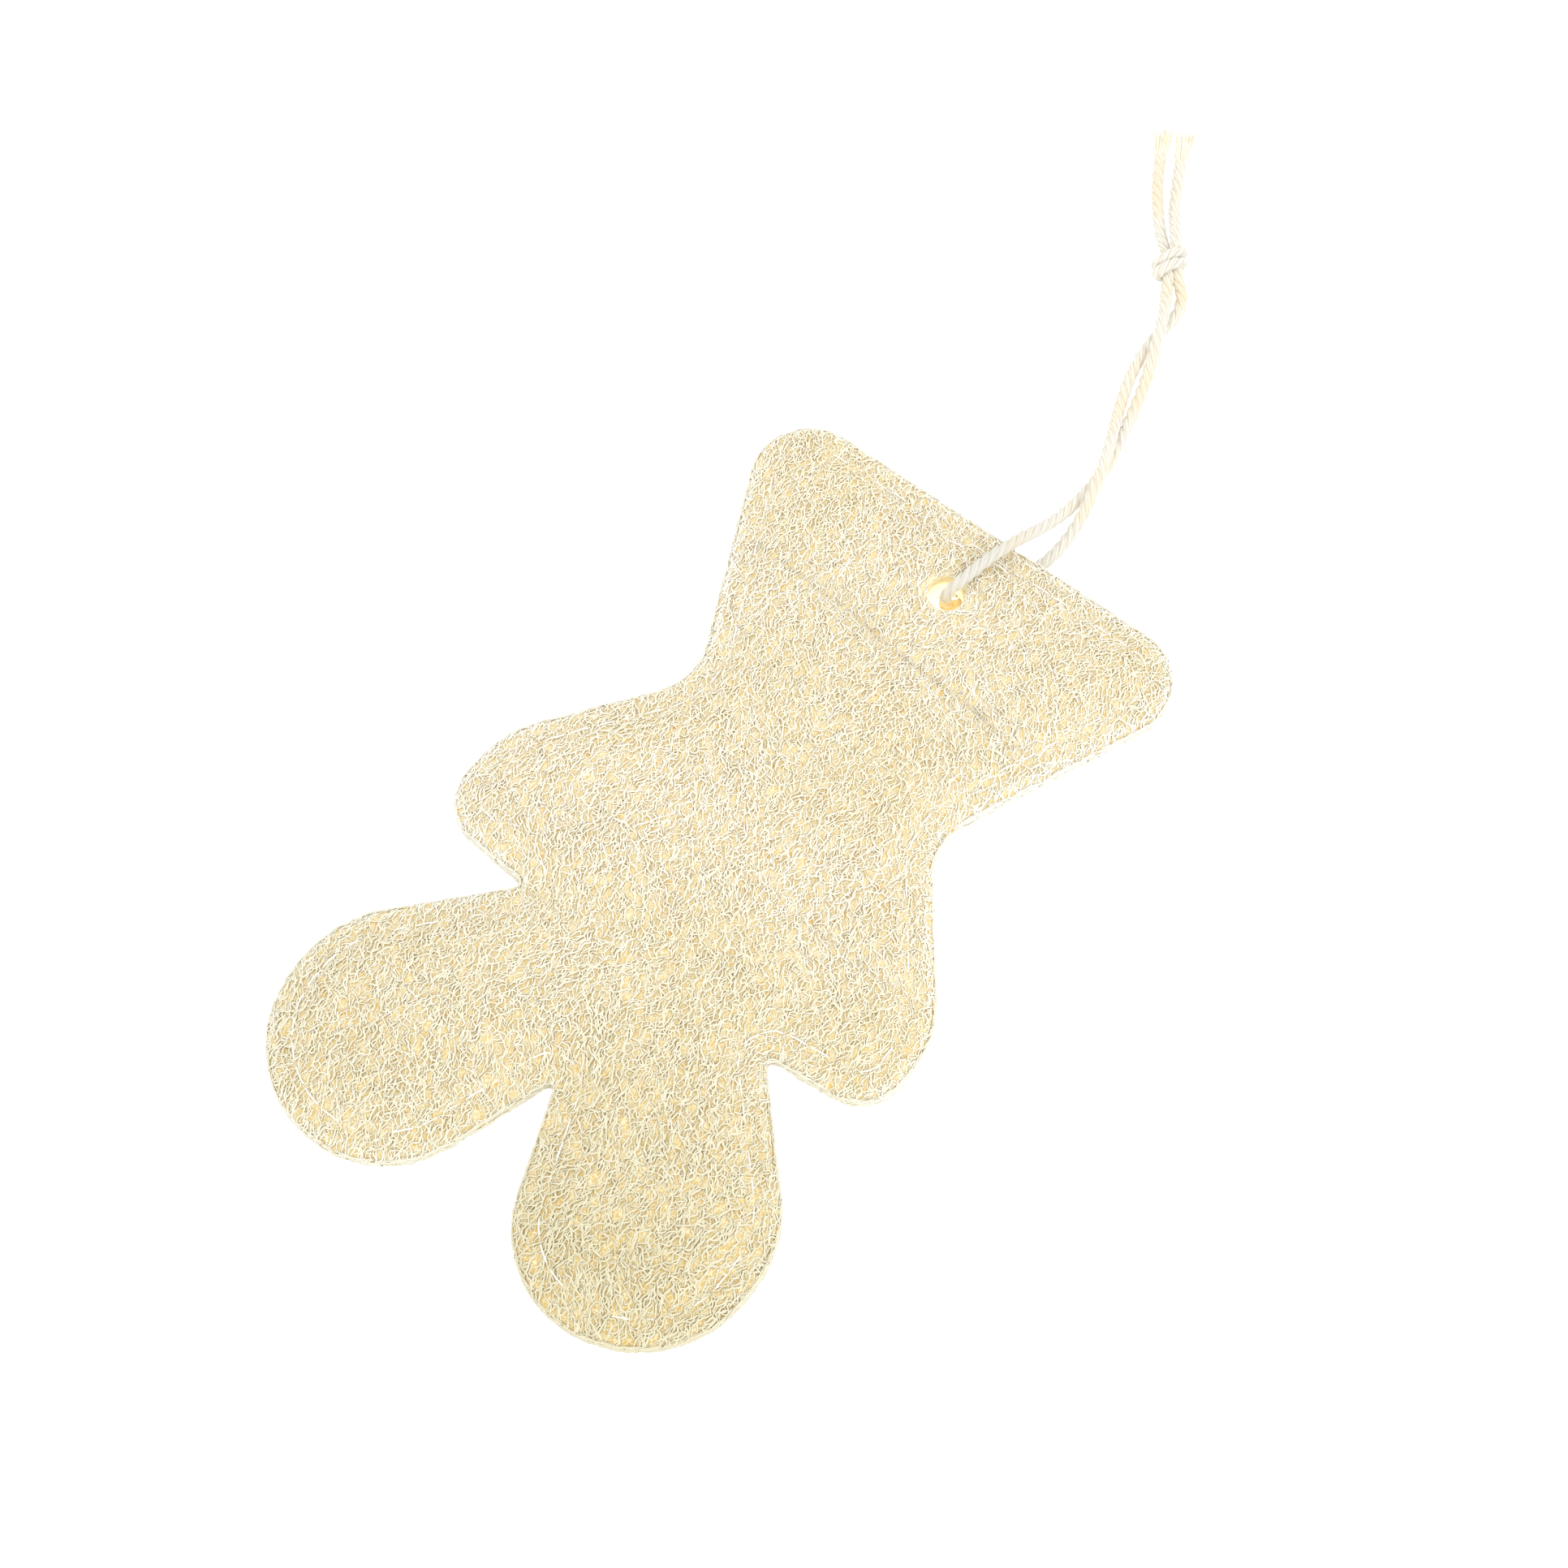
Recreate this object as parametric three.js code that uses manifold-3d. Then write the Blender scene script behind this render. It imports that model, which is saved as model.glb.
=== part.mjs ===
import * as THREE from 'three';
import { mergeVertices } from 'three/addons/utils/BufferGeometryUtils.js';
import Module from 'manifold-3d';

// A flat wash pad of two loofah sheets sewn together, with a cotton cord through its head.
// Millimetres: +Y runs from the legs to the head, +Z is up, and the pad lies on z = 0.

const wasm = await Module();
wasm.setup();

// Outline of the pad: corners of the right half, from the top edge down, each rounded by an arc.
const padLength = 145.7;
const rightCorners = [
  { x: 45.5, y: 145.7, round: 10 },
  { x: 23.2, y: 95.8, round: 11 },
  { x: 42.9, y: 70, round: 19 },
  { x: 42.9, y: 53.5, round: 8 },
  { x: 23.2, y: 51.7, round: 0.9 },
  { x: 43.75, y: 29.8, round: 20 },
  { x: 43.75, y: 0, round: 20 },
  { x: 10.9, y: 0, round: 18 },
];
const crotch = { x: 0, y: 30.2, round: 0.8 };
const outlineStep = 3.2;
const fewestArcParts = 3;

// Heights of the two sheets at the cut edge and in the middle, and the gap between them.
const backSeam = 3.3;
const sheetGap = 0.3;
const frontSeam = backSeam + sheetGap;
const frontEdge = 4.8;
const frontCrown = 7.7;
const backEdge = 1.1;
const pillowReach = 10;

// The raised net of fibres: its pitch, its stretch along the pad, its scatter and its pores.
const frontNet = { pitch: 2.0, stretch: 1.25, lean: 0.16, scatter: 0.26, depth: 1.6, seed: 7 };
const backNet = { pitch: 2.5, stretch: 1.25, lean: -0.2, scatter: 0.24, depth: 1.2, seed: 23 };
const poreDepth = { least: 0.55, spread: 0.65 };
const poreEvery = 3;
const leastSheet = 0.8;
const ridgeSwing = 0.3;
const ridgeTop = 0.7;
const netMargin = 4;
const farHeight = 20;
const restSpot = 6.5;

// Pressed lines across the front sheet, full over this share of their length.
const creaseFull = 0.7;
const creases = [
  { middle: { x: 0, y: 45.2 }, slope: -0.08, half: 34, deep: 0.5, wide: 2.2 },
  { middle: { x: 21, y: -1.2 }, slope: -0.02, half: 19, deep: 0.45, wide: 2.2 },
];

// The seam: inset from the edge, the strip it presses flat, its thread and its stitches.
const stitchInset = 4.2;
const stitchStrip = 1.2;
const stitchFade = 1.3;
const stitchPress = 0.7;
const threadRadius = 0.38;
const threadSides = 3;
const threadClear = 0.36;
const stitchLength = 5;
const frontArch = 0.55;
const backArch = 0.4;

// The hanging hole and the twisted cord through it.
const hole = { x: 0.8, y: 58, radius: 3, sides: 24 };
const holeRim = 0.6;
const holeCalm = 2.6;
const cordRadius = 1.1;
const cordSides = 8;
const cordSteps = 76;
const cordClear = 0.3;
const channelWide = 3;
const channelHigh = 2.6;
const channelFar = { x: 10, y: 76 };

// The cord's route from the knot over the pad, down the hole, under the pad and back to the knot.
const cordRoute = [
  [-5.4, 132.4, 2.6],
  [-3.3, 128.6, 2.4],
  [-1.3, 124.9, 3.3],
  [0.2, 121.2, 3.6],
  [1.7, 117.4, 2.9],
  [3.0, 113.6, 1.4],
  [3.9, 110.6, 1.15],
  [4.9, 106.8, 1.15],
  [5.8, 102.6, 1.15],
  [6.6, 98.8, 1.15],
  [7.1, 95.2, 1.15],
  [7.1, 91.6, 1.15],
  [6.8, 87.2, 1.2],
  [6.3, 82.6, 2.2],
  [5.6, 78.4, 4.2],
  [4.7, 74.2, 6.4],
  [3.8, 70.2, 7.8],
  [2.9, 66.2, 8.7],
  [2.2, 62.4, 9.0],
  [1.6, 59.8, 8.7],
  [1.0, 58.4, 7.2],
  [0.8, 58.1, 5.4],
  [0.8, 58.1, 3.4],
  [1.1, 58.6, 1.7],
  [2.2, 60.6, 1.15],
  [4.2, 64.3, 1.15],
  [6.2, 68.2, 1.15],
  [7.9, 71.6, 1.15],
  [9.0, 75.0, 1.15],
  [9.5, 78.6, 1.15],
  [9.5, 82.2, 1.2],
  [9.2, 85.8, 2.2],
  [8.5, 89.4, 3.5],
  [7.6, 92.8, 3.75],
  [6.5, 96.2, 3.75],
  [5.2, 99.6, 3.3],
  [3.6, 103.4, 1.9],
  [2.1, 107.4, 1.2],
  [0.9, 111.2, 1.15],
  [0.1, 114.8, 1.15],
  [-0.3, 118.4, 1.15],
  [-0.3, 121.8, 1.15],
  [0.1, 125.0, 1.15],
  [0.0, 127.8, 1.2],
  [-1.2, 130.4, 1.7],
  [-3.6, 132.6, 2.4],
];

// The overhand knot and the two loose tails with their frayed ends.
const knot = { x: -6.2, y: 134, z: 2.75, turn: 0.585, long: 4.3, wide: 2.55, high: 2.5 };
const knotTurns = [
  { shift: -2.2, tilt: 0.55 },
  { shift: -0.1, tilt: 0.75 },
  { shift: 1.9, tilt: 0.6 },
];
const wrapRadius = 0.95;
const wrapTuck = { wide: 0.3, high: 0.45 };
const wrapSides = 6;
const wrapSteps = 14;
const coreSides = 12;
const coreRows = 8;
const tailRoutes = {
  cord_tail_left: [
    [-8.6, 136.2, 1.9],
    [-10.9, 138.5, 1.3],
    [-14.2, 142.5, 1.15],
    [-17.4, 147.2, 1.15],
    [-20.0, 151.9, 1.15],
  ],
  cord_tail_right: [
    [-7.2, 137.2, 3.2],
    [-8.9, 139.7, 2.6],
    [-11.3, 143.3, 1.4],
    [-13.4, 147.0, 1.15],
    [-16.6, 153.3, 1.15],
  ],
};
const tailSteps = 6;
const fray = { root: 1.5, long: 5.6, start: 1.05, end: 1.4, flat: 0.62 };

// Colours and finishes.
const loofahFront = new THREE.MeshStandardMaterial({ color: 0xefe4c4, roughness: 0.9, metalness: 0 });
const loofahBack = new THREE.MeshStandardMaterial({ color: 0xe6d7ae, roughness: 0.92, metalness: 0 });
const threadWhite = new THREE.MeshStandardMaterial({ color: 0xf6f4ee, roughness: 0.7, metalness: 0 });
const cordCotton = new THREE.MeshStandardMaterial({ color: 0xf0ead9, roughness: 0.85, metalness: 0 });

// A repeatable draw between 0 and 1: each number is worked out from the one before.
const drawFactor = 1664525;
const drawStep = 1013904223;
const drawRange = 2 ** 32;

function seededDraw(seed) {
  let state = seed;
  return () => {
    state = (Math.imul(state, drawFactor) + drawStep) >>> 0;
    return state / drawRange;
  };
}

const weldGap = 1e-4;

// A closed three.js geometry becomes a solid that can be joined and cut.
function toSolid(geometry) {
  const bare = geometry.clone();
  bare.deleteAttribute('normal');
  bare.deleteAttribute('uv');
  const welded = mergeVertices(bare, weldGap);
  const vertProperties = new Float32Array(welded.attributes.position.array);
  const triVerts = new Uint32Array(welded.index.array);
  return new wasm.Manifold(new wasm.Mesh({ numProp: 3, vertProperties, triVerts }));
}

// A solid becomes a named mesh.
function toMesh(name, solid, material) {
  const result = solid.getMesh();
  const geometry = new THREE.BufferGeometry();
  geometry.setAttribute('position', new THREE.BufferAttribute(new Float32Array(result.vertProperties), 3));
  geometry.setIndex(new THREE.BufferAttribute(new Uint32Array(result.triVerts), 1));
  geometry.computeVertexNormals();
  const mesh = new THREE.Mesh(geometry, material);
  mesh.name = name;
  return mesh;
}

// All corners of the outline in order, with y measured from the middle of the pad.
function allCorners() {
  const left = rightCorners.map((corner) => ({ ...corner, x: -corner.x })).reverse();
  const ring = [...rightCorners, crotch, ...left];
  return ring.map(({ x, y, round }) => ({ at: new THREE.Vector2(x, y - padLength / 2), round }));
}

// The outline moved inwards: straight runs stay parallel and each arc keeps its centre.
function outlinePoints(inset) {
  const corners = allCorners();
  const points = [];
  corners.forEach((corner, index) => {
    const before = corners[(index + corners.length - 1) % corners.length].at;
    const after = corners[(index + 1) % corners.length].at;
    const back = before.clone().sub(corner.at).normalize();
    const ahead = after.clone().sub(corner.at).normalize();
    const halfAngle = Math.acos(back.dot(ahead)) / 2;
    const bisector = back.clone().add(ahead).normalize();
    const centre = corner.at.clone().addScaledVector(bisector, corner.round / Math.sin(halfAngle));
    const outward = back.cross(ahead) > 0;
    const radius = outward ? corner.round - inset : corner.round + inset;
    const middle = Math.atan2(-bisector.y, -bisector.x);
    const sweep = Math.PI / 2 - halfAngle;
    const first = outward ? middle + sweep : middle - sweep;
    const last = outward ? middle - sweep : middle + sweep;
    const arc = new THREE.ArcCurve(centre.x, centre.y, radius, first, last, outward);
    const parts = Math.max(fewestArcParts, Math.ceil((2 * sweep * corner.round) / outlineStep));
    points.push(...arc.getPoints(parts));
  });
  return points;
}

const edge = outlinePoints(0);

// Distance from a point to the pad's edge, positive inside the pad.
function insetAt(x, y) {
  let nearest = Infinity;
  let inside = false;
  edge.forEach((start, index) => {
    const end = edge[(index + 1) % edge.length];
    const runX = end.x - start.x;
    const runY = end.y - start.y;
    const along = ((x - start.x) * runX + (y - start.y) * runY) / (runX * runX + runY * runY);
    const share = THREE.MathUtils.clamp(along, 0, 1);
    nearest = Math.min(nearest, Math.hypot(x - start.x - share * runX, y - start.y - share * runY));
    if (start.y > y !== end.y > y && x < start.x + ((y - start.y) / runY) * runX) {
      inside = !inside;
    }
  });
  return inside ? nearest : -nearest;
}

// How far a point lies in the seam's flat strip, 1 on the strip and 0 away from it.
function seamShare(inset) {
  const away = Math.abs(inset - stitchInset);
  return 1 - THREE.MathUtils.smoothstep(away, stitchStrip, stitchStrip + stitchFade);
}

// How strong the raised net is: full in the open, calm on the seam and around the hole.
function netShare(x, y, inset) {
  const fromHole = Math.hypot(x - hole.x, y - hole.y) - hole.radius;
  return (1 - seamShare(inset)) * THREE.MathUtils.smoothstep(fromHole, holeRim, holeCalm);
}

// Depth of the pressed lines across the front.
function creaseDepth(x, y) {
  return creases.reduce((deepest, { middle, slope, half, deep, wide }) => {
    const reach = 1 - THREE.MathUtils.smoothstep(Math.abs(x - middle.x), creaseFull * half, half);
    const off = (y - middle.y - slope * (x - middle.x)) / wide;
    return Math.max(deepest, deep * reach * Math.exp(-off * off));
  }, 0);
}

// Crown of a sheet without its net: low at the cut edge and full a little way in.
function pillowShare(inset) {
  return THREE.MathUtils.smoothstep(Math.max(inset, 0), 0, pillowReach);
}

function frontHeight(x, y, pore, draw) {
  const inset = insetAt(x, y);
  const crown = THREE.MathUtils.lerp(frontEdge, frontCrown, pillowShare(inset));
  const room = crown - frontSeam - leastSheet;
  const pit = Math.min(room, frontNet.depth * (poreDepth.least + poreDepth.spread * draw));
  const net = pore ? -pit : ridgeSwing * (draw - ridgeTop);
  return crown + net * netShare(x, y, inset) - stitchPress * seamShare(inset) - creaseDepth(x, y);
}

function backHeight(x, y, pore, draw) {
  const inset = insetAt(x, y);
  const crown = THREE.MathUtils.lerp(backEdge, 0, pillowShare(inset));
  const resting = Math.hypot(x, y) < restSpot;
  const pit = backNet.depth * (poreDepth.least + poreDepth.spread * draw);
  const net = pore && !resting ? pit : 0;
  return crown + net * netShare(x, y, inset) + stitchPress * seamShare(inset);
}

// A slab whose one face is the net: a lattice of triangles where every third point is a pore.
function netSlab(net, heightAt, farSide) {
  const draw = seededDraw(net.seed);
  const scatter = () => net.pitch * net.scatter * (2 * draw() - 1);
  const rowGap = (net.pitch * Math.sqrt(3)) / 2;
  const halfWide = rightCorners[0].x + netMargin;
  const halfLong = (padLength / 2 + netMargin) / net.stretch;
  const reach = Math.hypot(halfWide, halfLong);
  const columns = Math.ceil((2 * reach) / net.pitch);
  const rows = Math.ceil((2 * reach) / rowGap);
  const positions = [];
  for (let row = 0; row <= rows; row += 1) {
    for (let column = 0; column <= columns; column += 1) {
      const across = (column + (row % 2) / 2) * net.pitch - reach + scatter();
      const along = row * rowGap - reach + scatter();
      const x = across * Math.cos(net.lean) - along * Math.sin(net.lean);
      const y = net.stretch * (across * Math.sin(net.lean) + along * Math.cos(net.lean));
      const pore = (column - Math.floor(row / 2) - row) % poreEvery === 0;
      positions.push(x, y, heightAt(x, y, pore, draw()));
    }
  }
  const count = positions.length / 3;
  for (let index = 0; index < count; index += 1) {
    positions.push(positions[3 * index], positions[3 * index + 1], farSide);
  }
  return slabGeometry(positions, count, columns, rows, farSide);
}

// Triangles of the slab: the net, its flat far side and the four walls between them.
function slabGeometry(positions, count, columns, rows, farSide) {
  const at = (column, row) => row * (columns + 1) + column;
  const faces = [];
  const addBoth = (a, b, c) => faces.push(a, b, c, a + count, c + count, b + count);
  const addWall = (a, b) => faces.push(a, a + count, b + count, a, b + count, b);
  for (let row = 0; row < rows; row += 1) {
    for (let column = 0; column < columns; column += 1) {
      const low = at(column, row);
      const lowNext = at(column + 1, row);
      const high = at(column, row + 1);
      const highNext = at(column + 1, row + 1);
      if (row % 2 === 0) {
        addBoth(low, lowNext, high);
        addBoth(lowNext, highNext, high);
      } else {
        addBoth(low, highNext, high);
        addBoth(low, lowNext, highNext);
      }
    }
  }
  for (let column = 0; column < columns; column += 1) {
    addWall(at(column, 0), at(column + 1, 0));
    addWall(at(column + 1, rows), at(column, rows));
  }
  for (let row = 0; row < rows; row += 1) {
    addWall(at(columns, row), at(columns, row + 1));
    addWall(at(0, row + 1), at(0, row));
  }
  if (farSide > 0) {
    faces.reverse();
  }
  const geometry = new THREE.BufferGeometry();
  geometry.setAttribute('position', new THREE.Float32BufferAttribute(positions, 3));
  geometry.setIndex(faces);
  return geometry;
}

// The pad's outline with its hole, standing between two heights.
function outlinePrism(low, high) {
  const shape = new THREE.Shape(edge);
  const ring = new THREE.EllipseCurve(hole.x, hole.y, hole.radius, hole.radius, 0, 2 * Math.PI);
  shape.holes.push(new THREE.Path(ring.getPoints(hole.sides).slice(0, -1)));
  const options = { depth: high - low, bevelEnabled: false, curveSegments: 1 };
  const geometry = new THREE.ExtrudeGeometry(shape, options);
  return toSolid(geometry.translate(0, 0, low));
}

function makeFrontSheet() {
  const slab = toSolid(netSlab(frontNet, frontHeight, -farHeight));
  const sheet = outlinePrism(frontSeam, farHeight).intersect(slab);
  return toMesh('front_sheet', sheet, loofahFront);
}

// The pressed channel under the head where the cord runs from the hole to the edge.
function cordChannel() {
  const start = new THREE.Vector2(hole.x, hole.y);
  const run = new THREE.Vector2(channelFar.x, channelFar.y).sub(start);
  const box = new THREE.BoxGeometry(channelWide, run.length(), 2 * channelHigh);
  box.rotateZ(run.angle() - Math.PI / 2);
  return toSolid(box.translate(start.x + run.x / 2, start.y + run.y / 2, 0));
}

function makeBackSheet() {
  const slab = toSolid(netSlab(backNet, backHeight, farHeight));
  const sheet = outlinePrism(-farHeight, backSeam).intersect(slab).subtract(cordChannel());
  return toMesh('back_sheet', sheet, loofahBack);
}

// Points along the seam, two to a stitch: one high on the stitch and one low at the needle hole.
function stitchPoints(lowHeight, rise) {
  const flat = outlinePoints(stitchInset).map((point) => new THREE.Vector3(point.x, point.y, 0));
  const seam = new THREE.CurvePath();
  flat.forEach((point, index) => seam.add(new THREE.LineCurve3(point, flat[(index + 1) % flat.length])));
  const count = 2 * Math.round(seam.getLength() / stitchLength);
  return Array.from({ length: count }, (unused, index) => {
    const point = seam.getPointAt(index / count);
    return point.setZ(lowHeight + (index % 2) * rise);
  });
}

// A closed ring of thread with a three-sided section along a loop of points.
function threadRing(points) {
  const positions = [];
  const faces = [];
  const up = new THREE.Vector3(0, 0, 1);
  points.forEach((point, index) => {
    const before = points[(index + points.length - 1) % points.length];
    const after = points[(index + 1) % points.length];
    const across = after.clone().sub(before).setZ(0).normalize().cross(up);
    for (let side = 0; side < threadSides; side += 1) {
      const angle = Math.PI / 2 + (2 * Math.PI * side) / threadSides;
      const corner = point.clone().addScaledVector(across, threadRadius * Math.cos(angle));
      corner.addScaledVector(up, threadRadius * Math.sin(angle));
      positions.push(corner.x, corner.y, corner.z);
      const here = index * threadSides + side;
      const beside = index * threadSides + ((side + 1) % threadSides);
      const next = (index + 1) % points.length;
      const there = next * threadSides + side;
      const thereBeside = next * threadSides + ((side + 1) % threadSides);
      faces.push(here, thereBeside, beside, here, there, thereBeside);
    }
  });
  const geometry = new THREE.BufferGeometry();
  geometry.setAttribute('position', new THREE.Float32BufferAttribute(positions, 3));
  geometry.setIndex(faces);
  return geometry;
}

function makeNeedleThread() {
  const seat = THREE.MathUtils.lerp(frontEdge, frontCrown, pillowShare(stitchInset)) - stitchPress;
  const points = stitchPoints(seat + threadRadius + threadClear, frontArch);
  return toMesh('needle_thread', toSolid(threadRing(points)), threadWhite);
}

// Under the head the thread sinks into the sheet where the cord's channel crosses it.
function makeBobbinThread() {
  const seat = THREE.MathUtils.lerp(backEdge, 0, pillowShare(stitchInset)) + stitchPress;
  const points = stitchPoints(seat - threadRadius - threadClear, -backArch);
  const ring = toSolid(threadRing(points)).subtract(cordChannel());
  return toMesh('bobbin_thread', ring, threadWhite);
}

// A round tube along a list of points.
function tubeAlong(route, steps, radius) {
  const path = new THREE.CatmullRomCurve3(route.map((point) => new THREE.Vector3(...point)));
  const ring = new THREE.EllipseCurve(0, 0, radius, radius, 0, 2 * Math.PI);
  const section = new THREE.Shape(ring.getPoints(cordSides).slice(0, -1));
  return toSolid(new THREE.ExtrudeGeometry(section, { steps, extrudePath: path, curveSegments: 1 }));
}

// Places a piece of the knot, made around the origin along +Y.
function knotPiece(geometry) {
  return toSolid(geometry.rotateZ(knot.turn).translate(knot.x, knot.y, knot.z));
}

// The tight knot: a core with three slanting turns around it, larger all over by grow.
function knotSolid(grow) {
  const core = new THREE.SphereGeometry(1, coreSides, coreRows);
  core.scale(knot.wide + grow, knot.long + grow, knot.high + grow);
  return knotTurns.reduce((solid, { shift, tilt }) => {
    const wrap = new THREE.TorusGeometry(1, (wrapRadius + grow) / knot.wide, wrapSides, wrapSteps);
    wrap.rotateX(Math.PI / 2);
    wrap.scale(knot.wide - wrapTuck.wide, knot.wide, knot.high - wrapTuck.high);
    wrap.rotateZ(tilt).translate(0, shift, 0);
    return solid.add(knotPiece(wrap));
  }, knotPiece(core));
}

function makeKnot() {
  return toMesh('cord_knot', knotSolid(0), cordCotton);
}

function makeHangCord() {
  const cord = tubeAlong(cordRoute, cordSteps, cordRadius).subtract(knotSolid(cordClear));
  return toMesh('hang_cord', cord, cordCotton);
}

// A loose tail: a short tube that opens into a frayed brush at its end.
function makeTail(name) {
  const route = tailRoutes[name];
  const end = new THREE.Vector3(...route[route.length - 1]);
  const heading = end.clone().sub(new THREE.Vector3(...route[route.length - 2])).normalize();
  const profile = [
    new THREE.Vector2(0, -fray.root),
    new THREE.Vector2(fray.start, -fray.root),
    new THREE.Vector2(fray.start, 0),
    new THREE.Vector2(fray.end, fray.long),
    new THREE.Vector2(0, fray.long),
  ];
  const brush = new THREE.LatheGeometry(profile, cordSides);
  brush.scale(1, 1, fray.flat);
  const turn = new THREE.Quaternion().setFromUnitVectors(new THREE.Vector3(0, 1, 0), heading);
  brush.applyQuaternion(turn).translate(end.x, end.y, end.z);
  const tail = tubeAlong(route, tailSteps, cordRadius).add(toSolid(brush));
  return toMesh(name, tail.subtract(knotSolid(cordClear)), cordCotton);
}

const group = new THREE.Group();
group.add(makeFrontSheet());
group.add(makeBackSheet());
group.add(makeNeedleThread());
group.add(makeBobbinThread());
group.add(makeHangCord());
group.add(makeKnot());
Object.keys(tailRoutes).forEach((name) => group.add(makeTail(name)));

export default group;
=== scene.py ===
import bpy
import numpy as np
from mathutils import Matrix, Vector


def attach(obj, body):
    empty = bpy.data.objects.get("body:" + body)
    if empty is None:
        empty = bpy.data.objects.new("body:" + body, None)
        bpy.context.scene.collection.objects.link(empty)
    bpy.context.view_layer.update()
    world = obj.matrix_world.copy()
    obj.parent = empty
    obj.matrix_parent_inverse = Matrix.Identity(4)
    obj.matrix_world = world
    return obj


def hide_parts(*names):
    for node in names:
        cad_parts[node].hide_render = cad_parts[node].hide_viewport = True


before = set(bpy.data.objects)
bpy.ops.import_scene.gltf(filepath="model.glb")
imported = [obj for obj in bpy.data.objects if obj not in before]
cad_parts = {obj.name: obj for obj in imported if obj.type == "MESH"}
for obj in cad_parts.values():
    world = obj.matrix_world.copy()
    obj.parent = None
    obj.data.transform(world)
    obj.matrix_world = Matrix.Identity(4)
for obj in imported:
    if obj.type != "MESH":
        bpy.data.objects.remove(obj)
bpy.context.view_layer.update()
mm = 0.001  # shapes are worked out in millimetres, as the part is, and put down in metres
wave = 6.28  # one full turn of a wave
tiny = 1e-6  # keeps a division away from nought
print("frame loaded")

# the pad's outline and heights, as in the part: corner x, y from the feet, rounding
pad = {
    "length": 145.7,
    "rightCorners": [
        (45.5, 145.7, 10.0), (23.2, 95.8, 11.0), (42.9, 70.0, 19.0), (42.9, 53.5, 8.0),
        (23.2, 51.7, 0.9), (43.75, 29.8, 20.0), (43.75, 0.0, 20.0), (10.9, 0.0, 18.0),
    ],
    "crotch": (0.0, 30.2, 0.8),
    "edgeStep": 0.6,
    "arcSteps": 6,  # the fewest on one corner
    "frontEdge": 4.8,
    "frontCrown": 7.7,
    "backEdge": 1.1,
    "seam": 3.45,  # the height where the two sheets meet
    "reach": 10.0,  # from the edge to the full height
    "roll": 0.9,
    "rollReach": 1.7,
    "backRoll": 0.6,  # share of the roll on the back
    "stitchInset": 4.2,
    "stitchPress": 0.7,
    "stitchWide": 1.1,
    "stitchShare": 0.6,  # share of the press on each face
    "swell": 0.25,
    "swellSize": 17.0,
    "swellSeed": 3,
    "hole": (0.8, 58.0, 3.0),
}
# pressed lines across the front: the middle, slope, half length, depth, width and how dark
creases = [
    {"x": 0.0, "y": 45.2, "slope": -0.08, "half": 34.0, "deep": 0.5, "wide": 2.2, "dark": 1.0},
    {"x": 21.0, "y": -1.2, "slope": -0.02, "half": 19.0, "deep": 0.45, "wide": 2.2, "dark": 0.5},
]
creaseFull = 0.7  # share of the half length that is pressed in full
# the legs are duller and their net is looser: from this height down, and less on the left leg
legs = {
    "from": -2.0, "shadeOver": 62.0, "looseOver": 48.0,
    "leftEnd": -12.0, "across": 24.0, "leftShade": 0.5, "leftLoose": 0.45,
}
edgeGrid = {"step": 0.5, "low": (-50.0, -80.0), "shape": (201, 321), "slopeStep": 0.6}
swells = {"waves": 7, "stretch": (0.7, 1.5), "even": 3.2}


def tint(red, green, blue):
    # an sRGB colour of 0 to 255 as the linear colour that shaders take
    share = np.array([red, green, blue]) / 255
    linear = np.where(share <= 0.04045, share / 12.92, ((share + 0.055) / 1.055) ** 2.4)
    return (*linear.tolist(), 1.0)


def smoothStep(value, low, high):
    # 0 below low, 1 above high and an S curve between
    share = np.clip((value - low) / (high - low), 0, 1)
    return share * share * (3 - 2 * share)


def unit(vectors):
    # each vector over its own length
    return vectors / np.maximum(np.linalg.norm(vectors, axis=-1, keepdims=True), 1e-12)


def runningLength(points):
    # the way along a line of points, from nought at the first
    return np.concatenate([[0], np.cumsum(np.linalg.norm(np.diff(points, axis=0), axis=1))])


# outline and heights of the pad
def outline(inset):
    # each corner is rounded by an arc between its two sides; moved inwards, an arc keeps its centre
    right = [(x, y - pad["length"] / 2, r) for x, y, r in pad["rightCorners"]]
    x, y, r = pad["crotch"]
    left = [(-a, b, c) for a, b, c in right[::-1]]
    ring = np.array(right + [(x, y - pad["length"] / 2, r)] + left)
    points = []
    for before, here, after in zip(np.roll(ring, 1, axis=0), ring, np.roll(ring, -1, axis=0)):
        back, ahead = unit(before[:2] - here[:2]), unit(after[:2] - here[:2])
        half = np.arccos(back @ ahead) / 2
        bisector = unit(back + ahead)
        centre = here[:2] + bisector * here[2] / np.sin(half)
        outward = back[0] * ahead[1] - back[1] * ahead[0] > 0
        turn = -1 if outward else 1
        sweep = np.pi / 2 - half
        middle = np.arctan2(-bisector[1], -bisector[0])
        steps = max(pad["arcSteps"], int(2 * sweep * here[2] / pad["edgeStep"]))
        angle = middle + turn * np.linspace(-sweep, sweep, steps)
        radius = here[2] - inset if outward else here[2] + inset
        points.append(centre + radius * np.stack([np.cos(angle), np.sin(angle)], axis=1))
    return np.concatenate(points)


def evenLoop(points, step):
    # the same closed loop with corners at an even spacing, and the length of the loop
    closed = np.concatenate([points, points[:1]])
    along = runningLength(closed)
    count = int(along[-1] / step)
    at = np.arange(count) * along[-1] / count
    return np.stack([np.interp(at, along, closed[:, k]) for k in range(2)], axis=1), along[-1]


edgeLoop, edgeLength = evenLoop(outline(0.0), pad["edgeStep"])


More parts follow.
